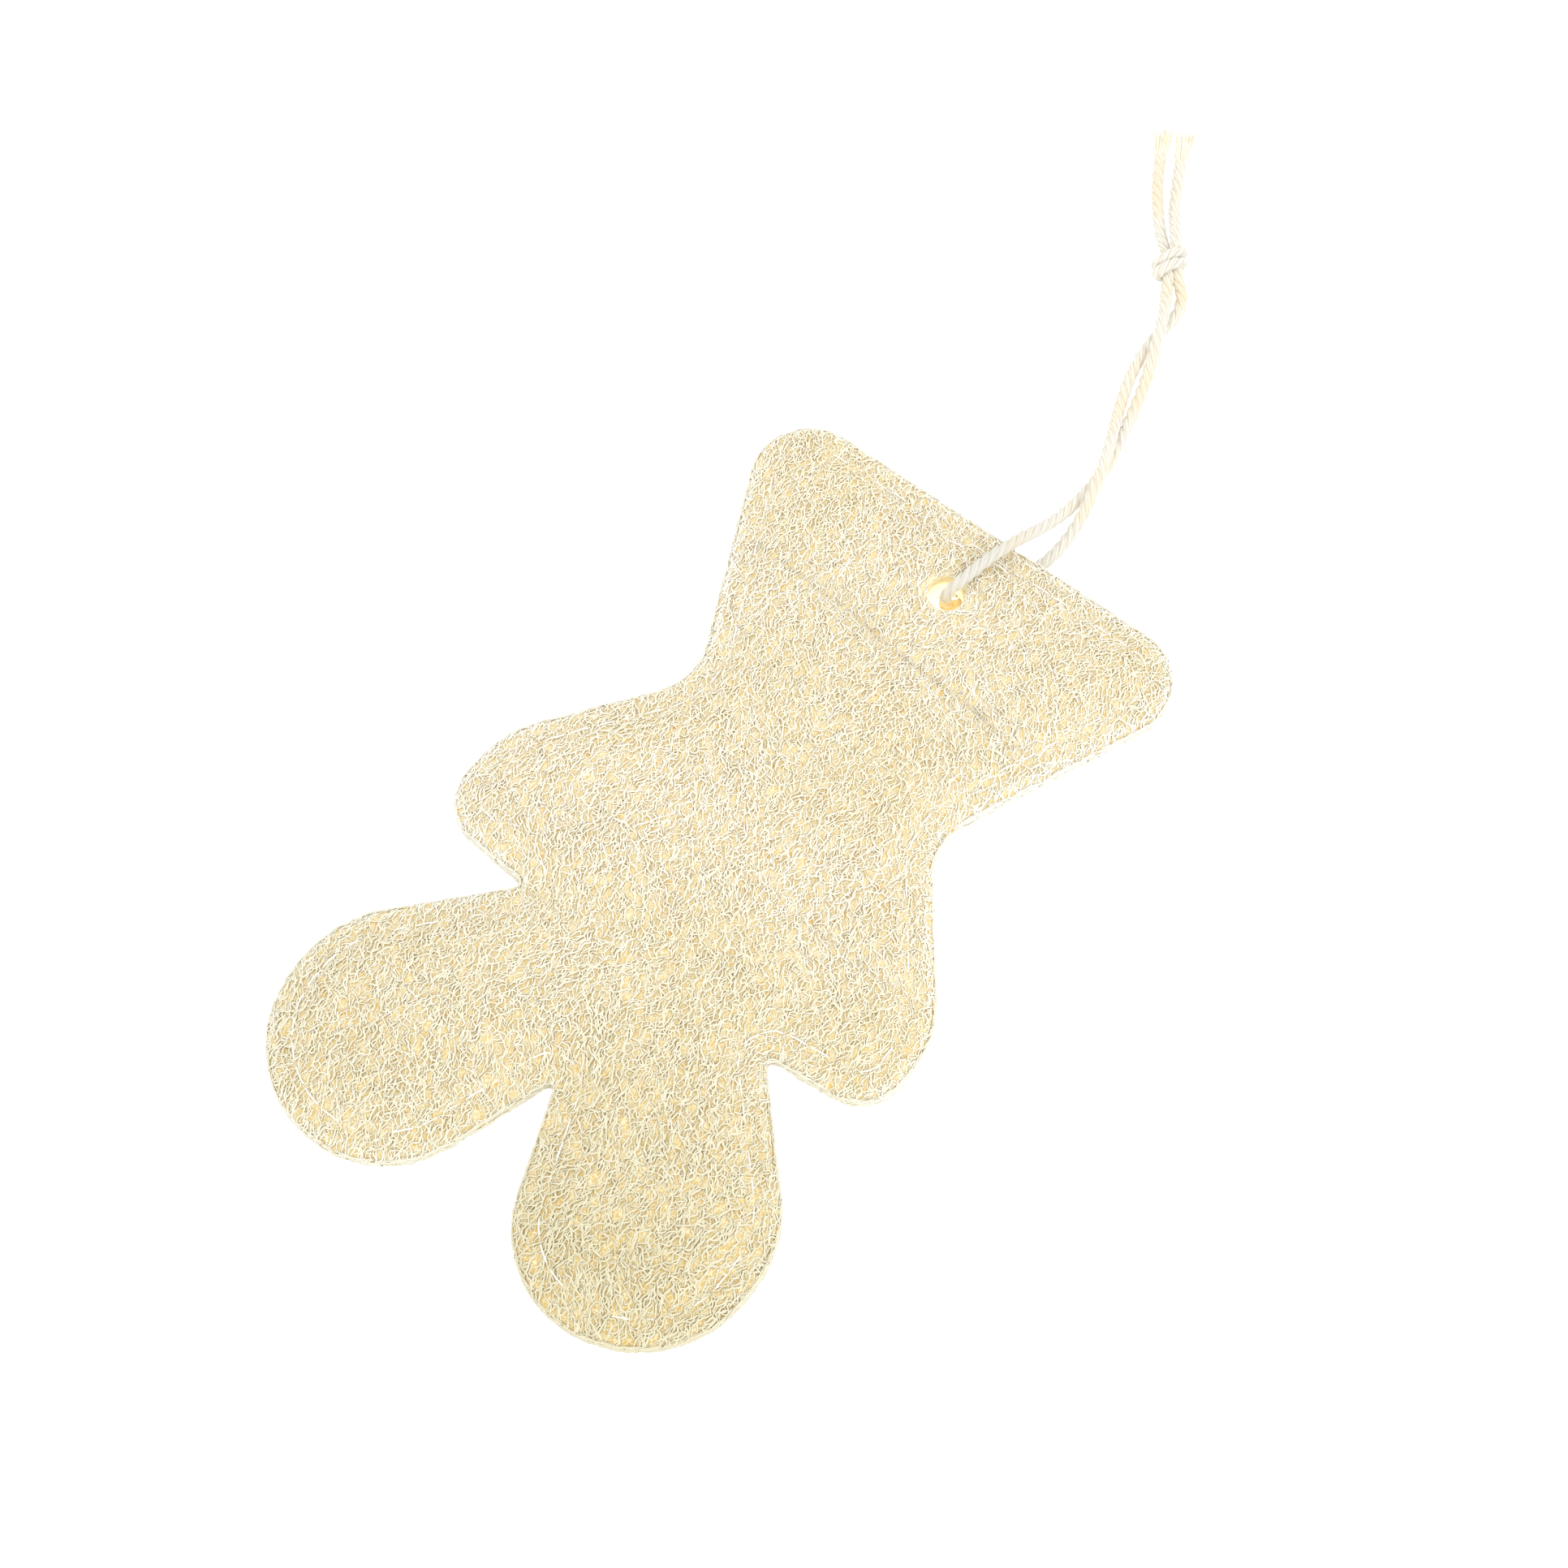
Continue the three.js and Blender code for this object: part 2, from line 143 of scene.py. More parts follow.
def edgeField():
    # distance to the edge on a grid of points, positive inside the pad, worked out a strip at a time
    xs, ys = (low + edgeGrid["step"] * np.arange(count)
              for low, count in zip(edgeGrid["low"], edgeGrid["shape"]))
    field = np.zeros(edgeGrid["shape"])
    start, end = edgeLoop, np.roll(edgeLoop, -1, axis=0)
    run = end - start
    upward = np.where(run[:, 1] == 0, 1e-9, run[:, 1])
    for column, x in enumerate(xs):
        offsetX = np.broadcast_to(x - start[None, :, 0], (len(ys), len(start)))
        offset = np.stack([offsetX, ys[:, None] - start[None, :, 1]], axis=-1)
        share = np.clip((offset * run).sum(-1) / (run * run).sum(-1), 0, 1)
        near = np.linalg.norm(offset - share[..., None] * run, axis=-1).min(axis=1)
        spans = (start[:, 1] > ys[:, None]) != (end[:, 1] > ys[:, None])
        cross = x < start[:, 0] + (ys[:, None] - start[:, 1]) / upward * run[:, 0]
        inside = (spans & cross).sum(axis=1) % 2 == 1
        field[column] = np.where(inside, near, -near)
    return field


insetGrid = edgeField()


def insetAt(x, y):
    # distance to the edge at any points, read between the corners of the grid
    u, v = (np.clip((value - low) / edgeGrid["step"], 0, count - 1.001)
            for value, low, count in zip((x, y), edgeGrid["low"], edgeGrid["shape"]))
    i, j = u.astype(int), v.astype(int)
    a, b = u - i, v - j
    low = insetGrid[i, j] * (1 - a) + insetGrid[i + 1, j] * a
    high = insetGrid[i, j + 1] * (1 - a) + insetGrid[i + 1, j + 1] * a
    return low * (1 - b) + high * b


def edgeSlope(x, y):
    # which way the distance to the edge grows, from a small step to either side
    step = edgeGrid["slopeStep"]
    return insetAt(x + step, y) - insetAt(x - step, y), insetAt(x, y + step) - insetAt(x, y - step)


def softNoise(x, y, size, seed):
    # a slow swell between about -1 and 1: waves of about one size in several directions
    draw = np.random.default_rng(seed)
    angles, phases = (draw.uniform(0, wave, swells["waves"]) for _ in range(2))
    stretches = draw.uniform(*swells["stretch"], swells["waves"])
    total = np.zeros_like(x)
    for angle, phase, stretch in zip(angles, phases, stretches):
        total += np.sin((x * np.cos(angle) + y * np.sin(angle)) * wave / (size * stretch) + phase)
    return total / swells["even"]


def pillow(x, y):
    # 0 at the edge, 1 where the pad is full, an S curve between
    return smoothStep(np.maximum(insetAt(x, y), 0), 0, pad["reach"])


def seamDip(x, y):
    # the pressed furrow that the seam lies in, a bell curve across it
    return pad["stitchPress"] * np.exp(-((insetAt(x, y) - pad["stitchInset"]) / pad["stitchWide"]) ** 2)


def creaseDip(x, y):
    # the deepest of the pressed lines across the front, each a bell curve across its line
    deepest = np.zeros_like(x)
    for crease in creases:
        reach = 1 - smoothStep(np.abs(x - crease["x"]), creaseFull * crease["half"], crease["half"])
        off = (y - crease["y"] - crease["slope"] * (x - crease["x"])) / crease["wide"]
        deepest = np.maximum(deepest, crease["deep"] * reach * np.exp(-off * off))
    return deepest


def edgeRoll(x, y):
    # how far the cut edge is rounded off
    return pad["roll"] * (1 - smoothStep(insetAt(x, y), 0, pad["rollReach"])) ** 2


def frontTop(x, y):
    # the front face: low at the edge, full in the middle, uneven, with the seam and creases pressed in
    crown = pad["frontEdge"] + (pad["frontCrown"] - pad["frontEdge"]) * pillow(x, y) - edgeRoll(x, y)
    uneven = pad["swell"] * softNoise(x, y, pad["swellSize"], pad["swellSeed"])
    return crown + uneven - pad["stitchShare"] * seamDip(x, y) - creaseDip(x, y)


def backTop(x, y):
    # the back face, turned down: high at the edge, flat in the middle, with the seam pressed in
    edge = pad["backEdge"] * (1 - pillow(x, y))
    return edge + pad["stitchShare"] * seamDip(x, y) + pad["backRoll"] * edgeRoll(x, y)


# meshes
def putDown(name, mesh, material):
    # a finished mesh becomes a piece on the pad
    mesh.materials.append(material)
    piece = bpy.data.objects.new(name, mesh)
    bpy.context.scene.collection.objects.link(piece)
    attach(piece, "root")
    return piece


def addMesh(name, points, faces, material, values=None, uv=None):
    # corners in millimetres and lists of faces, each list of one corner count, become a piece
    corners = np.concatenate([rows.ravel() for rows in faces]).astype(np.int32)
    sizes = np.concatenate([np.full(len(rows), rows.shape[1]) for rows in faces])
    starts = (np.cumsum(sizes) - sizes).astype(np.int32)
    mesh = bpy.data.meshes.new(name)
    mesh.vertices.add(len(points))
    mesh.vertices.foreach_set("co", (points * mm).astype(np.float32).ravel())
    mesh.loops.add(len(corners))
    mesh.loops.foreach_set("vertex_index", corners)
    mesh.polygons.add(len(sizes))
    mesh.polygons.foreach_set("loop_start", starts)
    mesh.polygons.foreach_set("use_smooth", np.ones(len(sizes), dtype=bool))
    for key, numbers in (values or {}).items():
        layer = mesh.attributes.new(key, "FLOAT", "POINT")
        layer.data.foreach_set("value", numbers.astype(np.float32).ravel())
    if uv is not None:
        mesh.uv_layers.new(name="along")
        mesh.uv_layers[0].data.foreach_set("uv", uv[corners].astype(np.float32).ravel())
    mesh.update()
    mesh.validate()
    return putDown(name, mesh, material)


def tubes(paths, radii, sides, reference=(0.0, 0.0, 1.0), section=(1.0, 1.0)):
    # an oval ring of points, section wide and high, carried along each path: across it, and square to both
    tangent = unit(np.gradient(paths, axis=1))
    across = unit(np.cross(tangent, np.array(reference)))
    over = np.cross(across, tangent)
    angle = np.pi / 2 + np.arange(sides) * 2 * np.pi / sides
    wide, high = section[0] * np.cos(angle)[:, None], section[1] * np.sin(angle)[:, None]
    ring = wide * across[:, :, None, :] + high * over[:, :, None, :]
    points = paths[:, :, None, :] + radii[:, :, None, None] * ring
    count, steps = paths.shape[:2]
    number = np.arange(count * steps * sides).reshape(count, steps, sides)
    beside = np.roll(number, -1, axis=2)
    walls = np.stack([number[:, :-1], number[:, 1:], beside[:, 1:], beside[:, :-1]], axis=-1)
    caps = np.concatenate([number[:, 0], number[:, -1, ::-1]])
    return points.reshape(-1, 3), [walls.reshape(-1, 4), caps]


def smoothPath(points, step, between=24):
    # a Catmull-Rom curve through the points, then corners at an even spacing along it
    p = np.concatenate([[2 * points[0] - points[1]], points, [2 * points[-1] - points[-2]]])
    t = np.linspace(0, 1, between, endpoint=False)[None, :, None]
    a, b, c, d = (p[k:len(p) - 3 + k, None, :] for k in range(4))
    square, cube = 2 * a - 5 * b + 4 * c - d, 3 * b - a - 3 * c + d
    curve = 0.5 * (2 * b + (c - a) * t + square * t ** 2 + cube * t ** 3)
    curve = np.concatenate([curve.reshape(-1, 3), points[-1:]])
    along = runningLength(curve)
    at = np.linspace(0, along[-1], int(along[-1] / step) + 1)
    return np.stack([np.interp(at, along, curve[:, k]) for k in range(3)], axis=1), along[-1]


# shader sums
class Wire:
    # a socket that can be added, multiplied and taken away as a number can
    def __init__(self, tree, socket):
        self.tree = tree
        self.socket = socket

    def node(self, kind, settings=None, inputs=None, output=0):
        # any node: its settings first, then a value or a link for each socket
        made = self.tree.nodes.new(kind)
        for key, value in (settings or {}).items():
            setattr(made, key, value)
        for key, value in (inputs or {}).items():
            if isinstance(value, Wire):
                self.tree.links.new(value.socket, made.inputs[key])
            else:
                made.inputs[key].default_value = value
        return Wire(self.tree, made.outputs[output])

    def maths(self, operation, first, second=0.0):
        # one Math node
        return self.node("ShaderNodeMath", {"operation": operation}, {0: first, 1: second})

    def mix(self, share, first, second):
        # between two colours
        inputs = {0: share, 6: first, 7: second}
        return self.node("ShaderNodeMix", {"data_type": "RGBA", "clamp_factor": True}, inputs, 2)

    def clamp(self):
        # held between 0 and 1
        return self.node("ShaderNodeClamp", None, {0: self})

    def axes(self):
        # the x, y and z of a vector
        made = self.node("ShaderNodeSeparateXYZ", None, {0: self}).socket.node
        return [Wire(self.tree, output) for output in made.outputs]

    def __add__(self, other):
        return self.maths("ADD", self, other)

    def __radd__(self, other):
        return self.maths("ADD", other, self)

    def __sub__(self, other):
        return self.maths("SUBTRACT", self, other)

    def __rsub__(self, other):
        return self.maths("SUBTRACT", other, self)

    def __mul__(self, other):
        return self.maths("MULTIPLY", self, other)

    def __rmul__(self, other):
        return self.maths("MULTIPLY", other, self)

    def __truediv__(self, other):
        return self.maths("DIVIDE", self, other)

    def __pow__(self, other):
        return self.maths("POWER", self, other)


def startMaterial(name):
    # an empty material, and the wire of its Object coordinates
    material = bpy.data.materials.new(name)
    material.use_nodes = True
    material.node_tree.nodes.clear()
    place = Wire(material.node_tree, None).node("ShaderNodeTexCoord", None, None, 3)
    return material, place


def finishMaterial(place, colour, roughness, bumpHeight=None, bump=None, **constants):
    # the shader at the end: constants are set on its own sockets
    inputs = {"Base Color": colour, "Roughness": roughness}
    if bumpHeight is not None:
        settings = {"Strength": bump[0], "Distance": bump[1], "Height": bumpHeight}
        inputs["Normal"] = place.node("ShaderNodeBump", None, settings)
    inputs.update({key.replace("_", " "): value for key, value in constants.items()})
    shader = place.node("ShaderNodeBsdfPrincipled", None, inputs)
    output = place.tree.nodes.new("ShaderNodeOutputMaterial")
    place.tree.links.new(shader.socket, output.inputs["Surface"])


def noise(place, scale, detail=3.0, rough=0.5):
    # cloudy noise of about 0 to 1, scale to the metre
    inputs = {"Vector": place, "Scale": scale, "Detail": detail, "Roughness": rough}
    return place.node("ShaderNodeTexNoise", None, inputs)


def attribute(place, name):
    # a number that each corner of the mesh carries
    return place.node("ShaderNodeAttribute", {"attribute_name": name}, None, 2)


def rise(value, start, steep):
    # 0 up to start, then up to 1
    return ((value - start) * steep).clamp()


loofahColours = {
    "pale": tint(251, 249, 240),
    "cream": tint(249, 245, 229),
    "straw": tint(244, 237, 208),
    # pore is also the golden painted shade of deep fibres
    "pore": tint(229, 208, 152),
    "amber": tint(224, 188, 114),
    "grey": tint(238, 235, 222),
    "fold": tint(198, 185, 154),
    "dun": tint(227, 220, 190),
    # glow and honey are painted light on the wall of the hole, honey where the cord shades it
    "glow": tint(232, 222, 178),
    "honey": tint(226, 200, 146),
    "moss": tint(208, 180, 114),
}
creaseLook = {"wander": 2.2, "wanderScale": 110.0, "frontFrom": 4.0, "frontOver": 0.5, "endPower": 4}
holeLook = {
    "litBelow": 5.8, "litOver": 1.4,  # how far down the wall the light comes through
    "wallOut": 0.35, "wallOver": 0.2, "brimOut": 1.6, "brimOver": 0.7, "rightOver": 2.0,
}


def creaseShade(place, width):
    # 1 along the pressed lines and 0 away from them, width as a share of the pressed band
    x, y, z = place.axes()
    wander = (noise(place, creaseLook["wanderScale"]) - 0.5) * (creaseLook["wander"] * mm)
    total = 0.0
    for crease in creases:
        fromX = x - crease["x"] * mm
        off = (y + wander - crease["y"] * mm - crease["slope"] * fromX) / (crease["wide"] * width * mm)
        end = place.maths("ABSOLUTE", fromX / (crease["half"] * mm)) ** creaseLook["endPower"]
        total = total + place.maths("EXPONENT", 0.0 - off * off) * (1.0 - end).clamp() * crease["dark"]
    front = (z - creaseLook["frontFrom"] * mm) / (creaseLook["frontOver"] * mm)
    return total.clamp() * front.clamp()


def legShade(place):
    # 0 on the body and up to 1 at the feet, less on the left
    x, y = place.axes()[:2]
    down = ((legs["from"] * mm - y) / (legs["shadeOver"] * mm)).clamp()
    right = ((x - legs["leftEnd"] * mm) / (legs["across"] * mm)).clamp()
    return down * (legs["leftShade"] + (1 - legs["leftShade"]) * right)


def holeWall(place):
    # 1 low on the wall of the hole, where light is painted, and 0 elsewhere, the same for the brim round it, and
    # how far to the right
    x, y, z = place.axes()
    holeX, holeY, holeRadius = (value * mm for value in pad["hole"])
    away = ((x - holeX) ** 2.0 + (y - holeY) ** 2.0) ** 0.5
    low = ((holeLook["litBelow"] * mm - z) / (holeLook["litOver"] * mm)).clamp()
    wall = ((holeRadius + holeLook["wallOut"] * mm - away) / (holeLook["wallOver"] * mm)).clamp() * low
    brim = ((holeRadius + holeLook["brimOut"] * mm - away) / (holeLook["brimOver"] * mm)).clamp()
    return wall, brim, ((x - holeX) / (holeLook["rightOver"] * mm)).clamp()


fibreLook = {
    "patchScale": 38.0, "patchRise": (0.42, 2.6), "patchShare": 0.55,
    "sinkSteep": 1.1, "sinkFrom": 0.1,  # golden as a fibre goes down
    "breakScale": 420.0, "breakRise": (0.35, 3.0),  # a pressed line is not dark all along
    "greyWide": 1.3, "greyShare": 0.6, "foldWide": 0.2, "foldLeast": 0.2, "foldMore": 0.36,
    "dunShare": 0.95, "grainScale": 2600.0, "rough": 0.72, "roughMore": 0.2, "bump": (0.25, 0.0001),
}


def fibreMaterial():
    # dry plant fibre: each one its own tone, yellower in patches, and golden as painted shade where it lies deep
    # in the pores
    material, place = startMaterial("loofah_fibre")
    c, look = loofahColours, fibreLook
    colour = place.mix(attribute(place, "tone"), c["cream"], c["pale"])
    patch = noise(place, look["patchScale"], 2.0)
    colour = place.mix(rise(patch, *look["patchRise"]) * look["patchShare"], colour, c["straw"])
    sink = attribute(place, "sink")
    # painted shade: the deeper a fibre or its lower side lies, the more golden it is
    colour = place.mix((sink * look["sinkSteep"] - look["sinkFrom"]).clamp(), colour, c["pore"])
    broken = rise(noise(place, look["breakScale"]), *look["breakRise"])
    colour = place.mix(creaseShade(place, look["greyWide"]) * broken * look["greyShare"], colour, c["grey"])
    fold = creaseShade(place, look["foldWide"]) * (look["foldLeast"] + broken * look["foldMore"])
    colour = place.mix(fold, colour, c["fold"])
    colour = place.mix(legShade(place) * look["dunShare"], colour, c["dun"])
    grain = noise(place, look["grainScale"], 2.0)
    finishMaterial(place, colour, look["rough"] + grain * look["roughMore"], grain, look["bump"],
                   Specular_IOR_Level=0.25)
    return material


bedLook = {
    "pitch": 0.75, "bend": 1.2, "bendScale": 600.0, "turn": (0.0, 0.0, -0.22), "stretch": (1.35, 0.75, 1.0),
    "edge": 4.0, "patchScale": 60.0, "amberRise": (0.9, 20.0), "mossShare": 0.9,
    "ribRise": (0.5, 3.0), "ribLeast": 0.5, "ribMore": 0.4, "brimShare": 0.6,
    "rough": 0.85, "roughMore": 0.1, "bump": (0.3, 0.0003),
}


def web(place):
    # crinkled fibres on the edges between scattered cells: 1 on an edge, 0 in a cell, and a draw for each cell
    inputs = {"Vector": place, "Scale": bedLook["bendScale"], "Detail": 2.0}
    warp = place.node("ShaderNodeTexNoise", None, inputs, 1)
    inputs = {0: warp, "Scale": bedLook["bend"] * mm}
    warp = place.node("ShaderNodeVectorMath", {"operation": "SCALE"}, inputs)
    bent = place.node("ShaderNodeVectorMath", {"operation": "ADD"}, {0: place, 1: warp})
    laid = place.node("ShaderNodeMapping", None, {0: bent, 2: bedLook["turn"], 3: bedLook["stretch"]})
    inputs = {"Vector": laid, "Scale": 1 / (bedLook["pitch"] * mm)}
    edge = place.node("ShaderNodeTexVoronoi", {"feature": "DISTANCE_TO_EDGE"}, inputs)
    cell = place.node("ShaderNodeTexVoronoi", {"feature": "F1"}, inputs, 1)
    return 1.0 - (edge * bedLook["edge"]).clamp(), cell.axes()[0]


def bedMaterial():
    # the mat under the net: a finer web of pale fibres with golden pores between them, and painted light low in
    # the hole
    material, place = startMaterial("loofah_bed")
    c, look = loofahColours, bedLook
    height, draw = web(place)
    patch = noise(place, look["patchScale"], 2.0)
    pore = place.mix(rise(draw, *look["amberRise"]), c["pore"], c["amber"])
    pore = place.mix(legShade(place) * look["mossShare"], pore, c["moss"])
    rib = rise(height, *look["ribRise"]) * (look["ribLeast"] + patch * look["ribMore"])
    colour = place.mix(rib, pore, c["straw"])
    wall, brim, right = holeWall(place)
    # painted light: low in the hole the wall turns pale and glows, honey on the right as painted shade behind the
    # cord; the brim round the hole is paler straw
    colour = place.mix(wall, place.mix(brim * look["brimShare"], colour, c["straw"]), c["pale"])
    lit = place.mix(right, c["glow"], c["honey"])  # light that comes through the thin sheets
    glow = place.mix(wall, (0.0, 0.0, 0.0, 1.0), lit)
    finishMaterial(place, colour, look["rough"] + patch * look["roughMore"], height, look["bump"],
                   Specular_IOR_Level=0.15, Emission_Color=glow, Emission_Strength=0.6)
    return material


fullCircle = 6.2832
threadLook = {
    "twists": 2.0, "lay": 9000.0, "dim": tint(248, 246, 240), "white": tint(255, 254, 250),
    "rough": 0.55, "roughMore": 0.05, "bump": (0.4, 0.00008),
}


def threadMaterial():
    # white sewing thread: a fine slanting twist
    material, place = startMaterial("sewing_thread")
    look = threadLook
    u, v = place.node("ShaderNodeUVMap", {"uv_map": "along"}).axes()[:2]
    twist = place.maths("SINE", u * (fullCircle * look["twists"]) + v * look["lay"])
    colour = place.mix(twist * 0.25 + 0.5, look["dim"], look["white"])
    finishMaterial(place, colour, look["rough"] + twist * look["roughMore"], twist, look["bump"],
                   Sheen_Weight=0.2)
    return material


cottonLook = {
    "yarns": 5.0, "lay": 2400.0, "wander": 3.0, "wanderScale": 700.0, "fuzzScale": 3200.0, "yarnShare": 0.6,
    "shadow": tint(208, 201, 184), "light": tint(237, 235, 227),
    "patchScale": 120.0, "patchRise": (0.45, 3.0), "patchShare": 0.7, "patch": tint(228, 207, 162),
    "innerSteep": 1.4, "innerFrom": 0.2, "innerShare": 0.85, "inner": tint(204, 184, 140),
    # painted shade: the cord turns greyer below a height, towards the hole
    "paintedShadeBelow": 88.0, "paintedShadeOver": 20.0, "paintedShadeShare": 0.5, "paintedShading": tint(196, 194, 184),
    "litShare": 0.8, "lit": tint(238, 214, 156),
    "rough": 0.8, "roughMore": 0.15, "bump": (0.5, 0.00012),
}


def cottonMaterial():
    # undyed cotton: fine yarns that wind along each ply, tan between them
    material, place = startMaterial("cord_cotton")
    look = cottonLook
    u, v = place.node("ShaderNodeUVMap", {"uv_map": "along"}).axes()[:2]
    wander = noise(place, look["wanderScale"], 2.0)
    wind = u * (fullCircle * look["yarns"]) - v * look["lay"] + wander * look["wander"]
    yarn = place.maths("SINE", wind) * 0.5 + 0.5
    fuzz = noise(place, look["fuzzScale"], 3.0, 0.6)
    twist = yarn * look["yarnShare"] + fuzz * (1 - look["yarnShare"])
    colour = place.mix(twist, look["shadow"], look["light"])
    patch = noise(place, look["patchScale"], 2.0)
    colour = place.mix(rise(patch, *look["patchRise"]) * look["patchShare"], colour, look["patch"])
    inner = (attribute(place, "inner") * look["innerSteep"] - look["innerFrom"]).clamp()
    colour = place.mix(inner * look["innerShare"], colour, look["inner"])
    y = place.axes()[1]
    paintedShading = ((look["paintedShadeBelow"] * mm - y) / (look["paintedShadeOver"] * mm)).clamp()  # painted shade: greyer towards the hole
    colour = place.mix(paintedShading * look["paintedShadeShare"], colour, look["paintedShading"])
    wall = holeWall(place)[0]
    colour = place.mix(wall * look["litShare"], colour, look["lit"])  # lit through the sheets in the hole
    # a faint glow in its own colour is painted light that lifts the shade between the yarns
    finishMaterial(place, colour, look["rough"] + fuzz * look["roughMore"], yarn * 0.7 + fuzz * 0.5,
                   look["bump"], Sheen_Weight=0.35, Emission_Color=colour, Emission_Strength=0.04)
    return material


frayLook = {
    "grainScale": 900.0, "toneShare": 0.9, "grainShare": 0.4, "rough": 0.85, "roughMore": 0.1,
    "tan": tint(233, 221, 190), "light": tint(249, 246, 236),
}


def frayMaterial():
    # loose cotton yarns, each its own cream, and a little uneven along it
    material, place = startMaterial("cord_fray")
    look = frayLook
    grain = noise(place, look["grainScale"], 2.0)
    tone = attribute(place, "tone") * look["toneShare"] + (grain - 0.5) * look["grainShare"]
    colour = place.mix(tone.clamp(), look["tan"], look["light"])
    # a glow in its own colour is painted light that lifts the shade between the yarns
    finishMaterial(place, colour, look["rough"] + grain * look["roughMore"], Sheen_Weight=0.3,
                   Emission_Color=colour, Emission_Strength=0.1)
    return material


fibreFinish, bedFinish = fibreMaterial(), bedMaterial()
threadFinish, cottonFinish, frayFinish = threadMaterial(), cottonMaterial(), frayMaterial()
print("materials ready")

# the camera: where the photograph was taken from, looking a little past the middle of the pad
view = {"from": (118.4, -144.2, 479.1), "at": (-2.14, 18.07, 0.0), "lens": 74.53, "sensor": 36.0}
camera = bpy.data.objects.new("camera", bpy.data.cameras.new("camera"))
camera.data.lens = view["lens"]
camera.data.sensor_width = view["sensor"]
camera.location = Vector(view["from"]) * mm
aim = (Vector(view["at"]) - Vector(view["from"])).to_track_quat("-Z", "Y")
camera.rotation_euler = aim.to_euler()
bpy.context.scene.collection.objects.link(camera)
bpy.context.scene.camera = camera
print("camera set")

# the cotton cord: two strands that meet inside the hole and run to the knot and the tails
cord = {
    "diameter": 2.2,
    "plies": 3,
    "plyRadius": 0.59,
    "plyOffset": 0.47,
    "pitch": 6.3,
    "step": 0.28,
    "sides": 8,
    "upperRoute": [
        (0.8, 58.1, 3.4), (0.8, 58.1, 5.4), (1.0, 58.4, 7.2), (1.6, 59.8, 8.7), (2.2, 62.4, 9.0),
        (2.9, 66.2, 8.7), (3.8, 70.2, 7.8), (4.7, 74.2, 6.4), (5.6, 78.4, 4.2), (6.3, 82.6, 2.2),
        (6.8, 87.2, 1.2), (7.1, 91.6, 1.15), (7.1, 95.2, 1.15), (6.6, 98.8, 1.15), (5.8, 102.6, 1.15),
        (4.9, 106.8, 1.15), (3.9, 110.6, 1.15), (3.0, 113.6, 1.4), (1.7, 117.4, 2.9), (0.2, 121.2, 3.6),
        (-1.3, 124.9, 3.3), (-3.3, 128.6, 2.4), (-5.4, 132.4, 2.6), (-8.6, 136.2, 1.9),
        (-10.9, 138.5, 1.3), (-14.2, 142.5, 1.15), (-17.4, 147.2, 1.15), (-20.0, 151.9, 1.15),
    ],
    "lowerRoute": [
        (0.8, 58.1, 3.4), (1.1, 58.6, 1.7), (2.2, 60.6, 1.15), (4.2, 64.3, 1.15), (6.2, 68.2, 1.15),
        (7.9, 71.6, 1.15), (9.0, 75.0, 1.15), (9.5, 78.6, 1.15), (9.5, 82.2, 1.2), (9.2, 85.8, 2.2),
        (8.5, 89.4, 3.5), (7.6, 92.8, 3.75), (6.5, 96.2, 3.75), (5.2, 99.6, 3.3), (3.6, 103.4, 1.9),
        (2.1, 107.4, 1.2), (0.9, 111.2, 1.15), (0.1, 114.8, 1.15), (-0.3, 118.4, 1.15),
        (-0.3, 121.8, 1.15), (0.1, 125.0, 1.15), (0.0, 127.8, 1.2), (-1.2, 130.4, 1.7), (-3.6, 132.6, 2.4),
        (-7.2, 137.2, 3.2), (-8.9, 139.7, 2.6), (-11.3, 143.3, 1.4), (-13.4, 147.0, 1.15),
        (-16.6, 153.3, 1.15),
    ],
}


def rope(path, plyRadius, plyOffset, pitch):
    # each ply is a ring carried along the path, and swung round it left-handed once in each pitch
    plies, sides = cord["plies"], cord["sides"]
    tangent = unit(np.gradient(path, axis=0))
    across = unit(np.array([1.0, 0.0, 0.0]) - tangent[:, :1] * tangent)
    over = np.cross(tangent, across)
    along = runningLength(path)
    turn = np.arange(plies)[:, None] * 2 * np.pi / plies - along * 2 * np.pi / pitch
    swing = np.cos(turn)[..., None] * across + np.sin(turn)[..., None] * over
    paths = path + plyOffset * swing
    points, faces = tubes(paths, np.full(paths.shape[:2], plyRadius), sides, (1.0, 0.0, 0.0))
    shape = (plies, len(path), sides, 3)
    reach = np.linalg.norm(points.reshape(shape) - path[None, :, None, :], axis=-1)
    inner = 1 - reach / (plyOffset + plyRadius)
    around = np.broadcast_to(np.arange(sides) / sides, shape[:3])
    far = np.broadcast_to(along[None, :, None] * mm, shape[:3])
    uv = np.stack([around.ravel(), far.ravel()], axis=1)
    return points, faces, inner.ravel(), uv


def makeStrand(name, route):
    # a rope along the smooth curve through the route's points
    path, length = smoothPath(np.array(route), cord["step"])
    points, faces, inner, uv = rope(path, cord["plyRadius"], cord["plyOffset"], cord["pitch"])
    piece = addMesh(name, points, faces, cottonFinish, {"inner": inner}, uv)
    return piece, path, length


upperStrand, upperPath, upperLength = makeStrand("cord_upper_strand", cord["upperRoute"])
lowerStrand, lowerPath, lowerLength = makeStrand("cord_lower_strand", cord["lowerRoute"])
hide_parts("hang_cord", "cord_tail_left")
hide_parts("hang_cord", "cord_tail_right")
print("cord strands", round(upperLength, 1), round(lowerLength, 1))

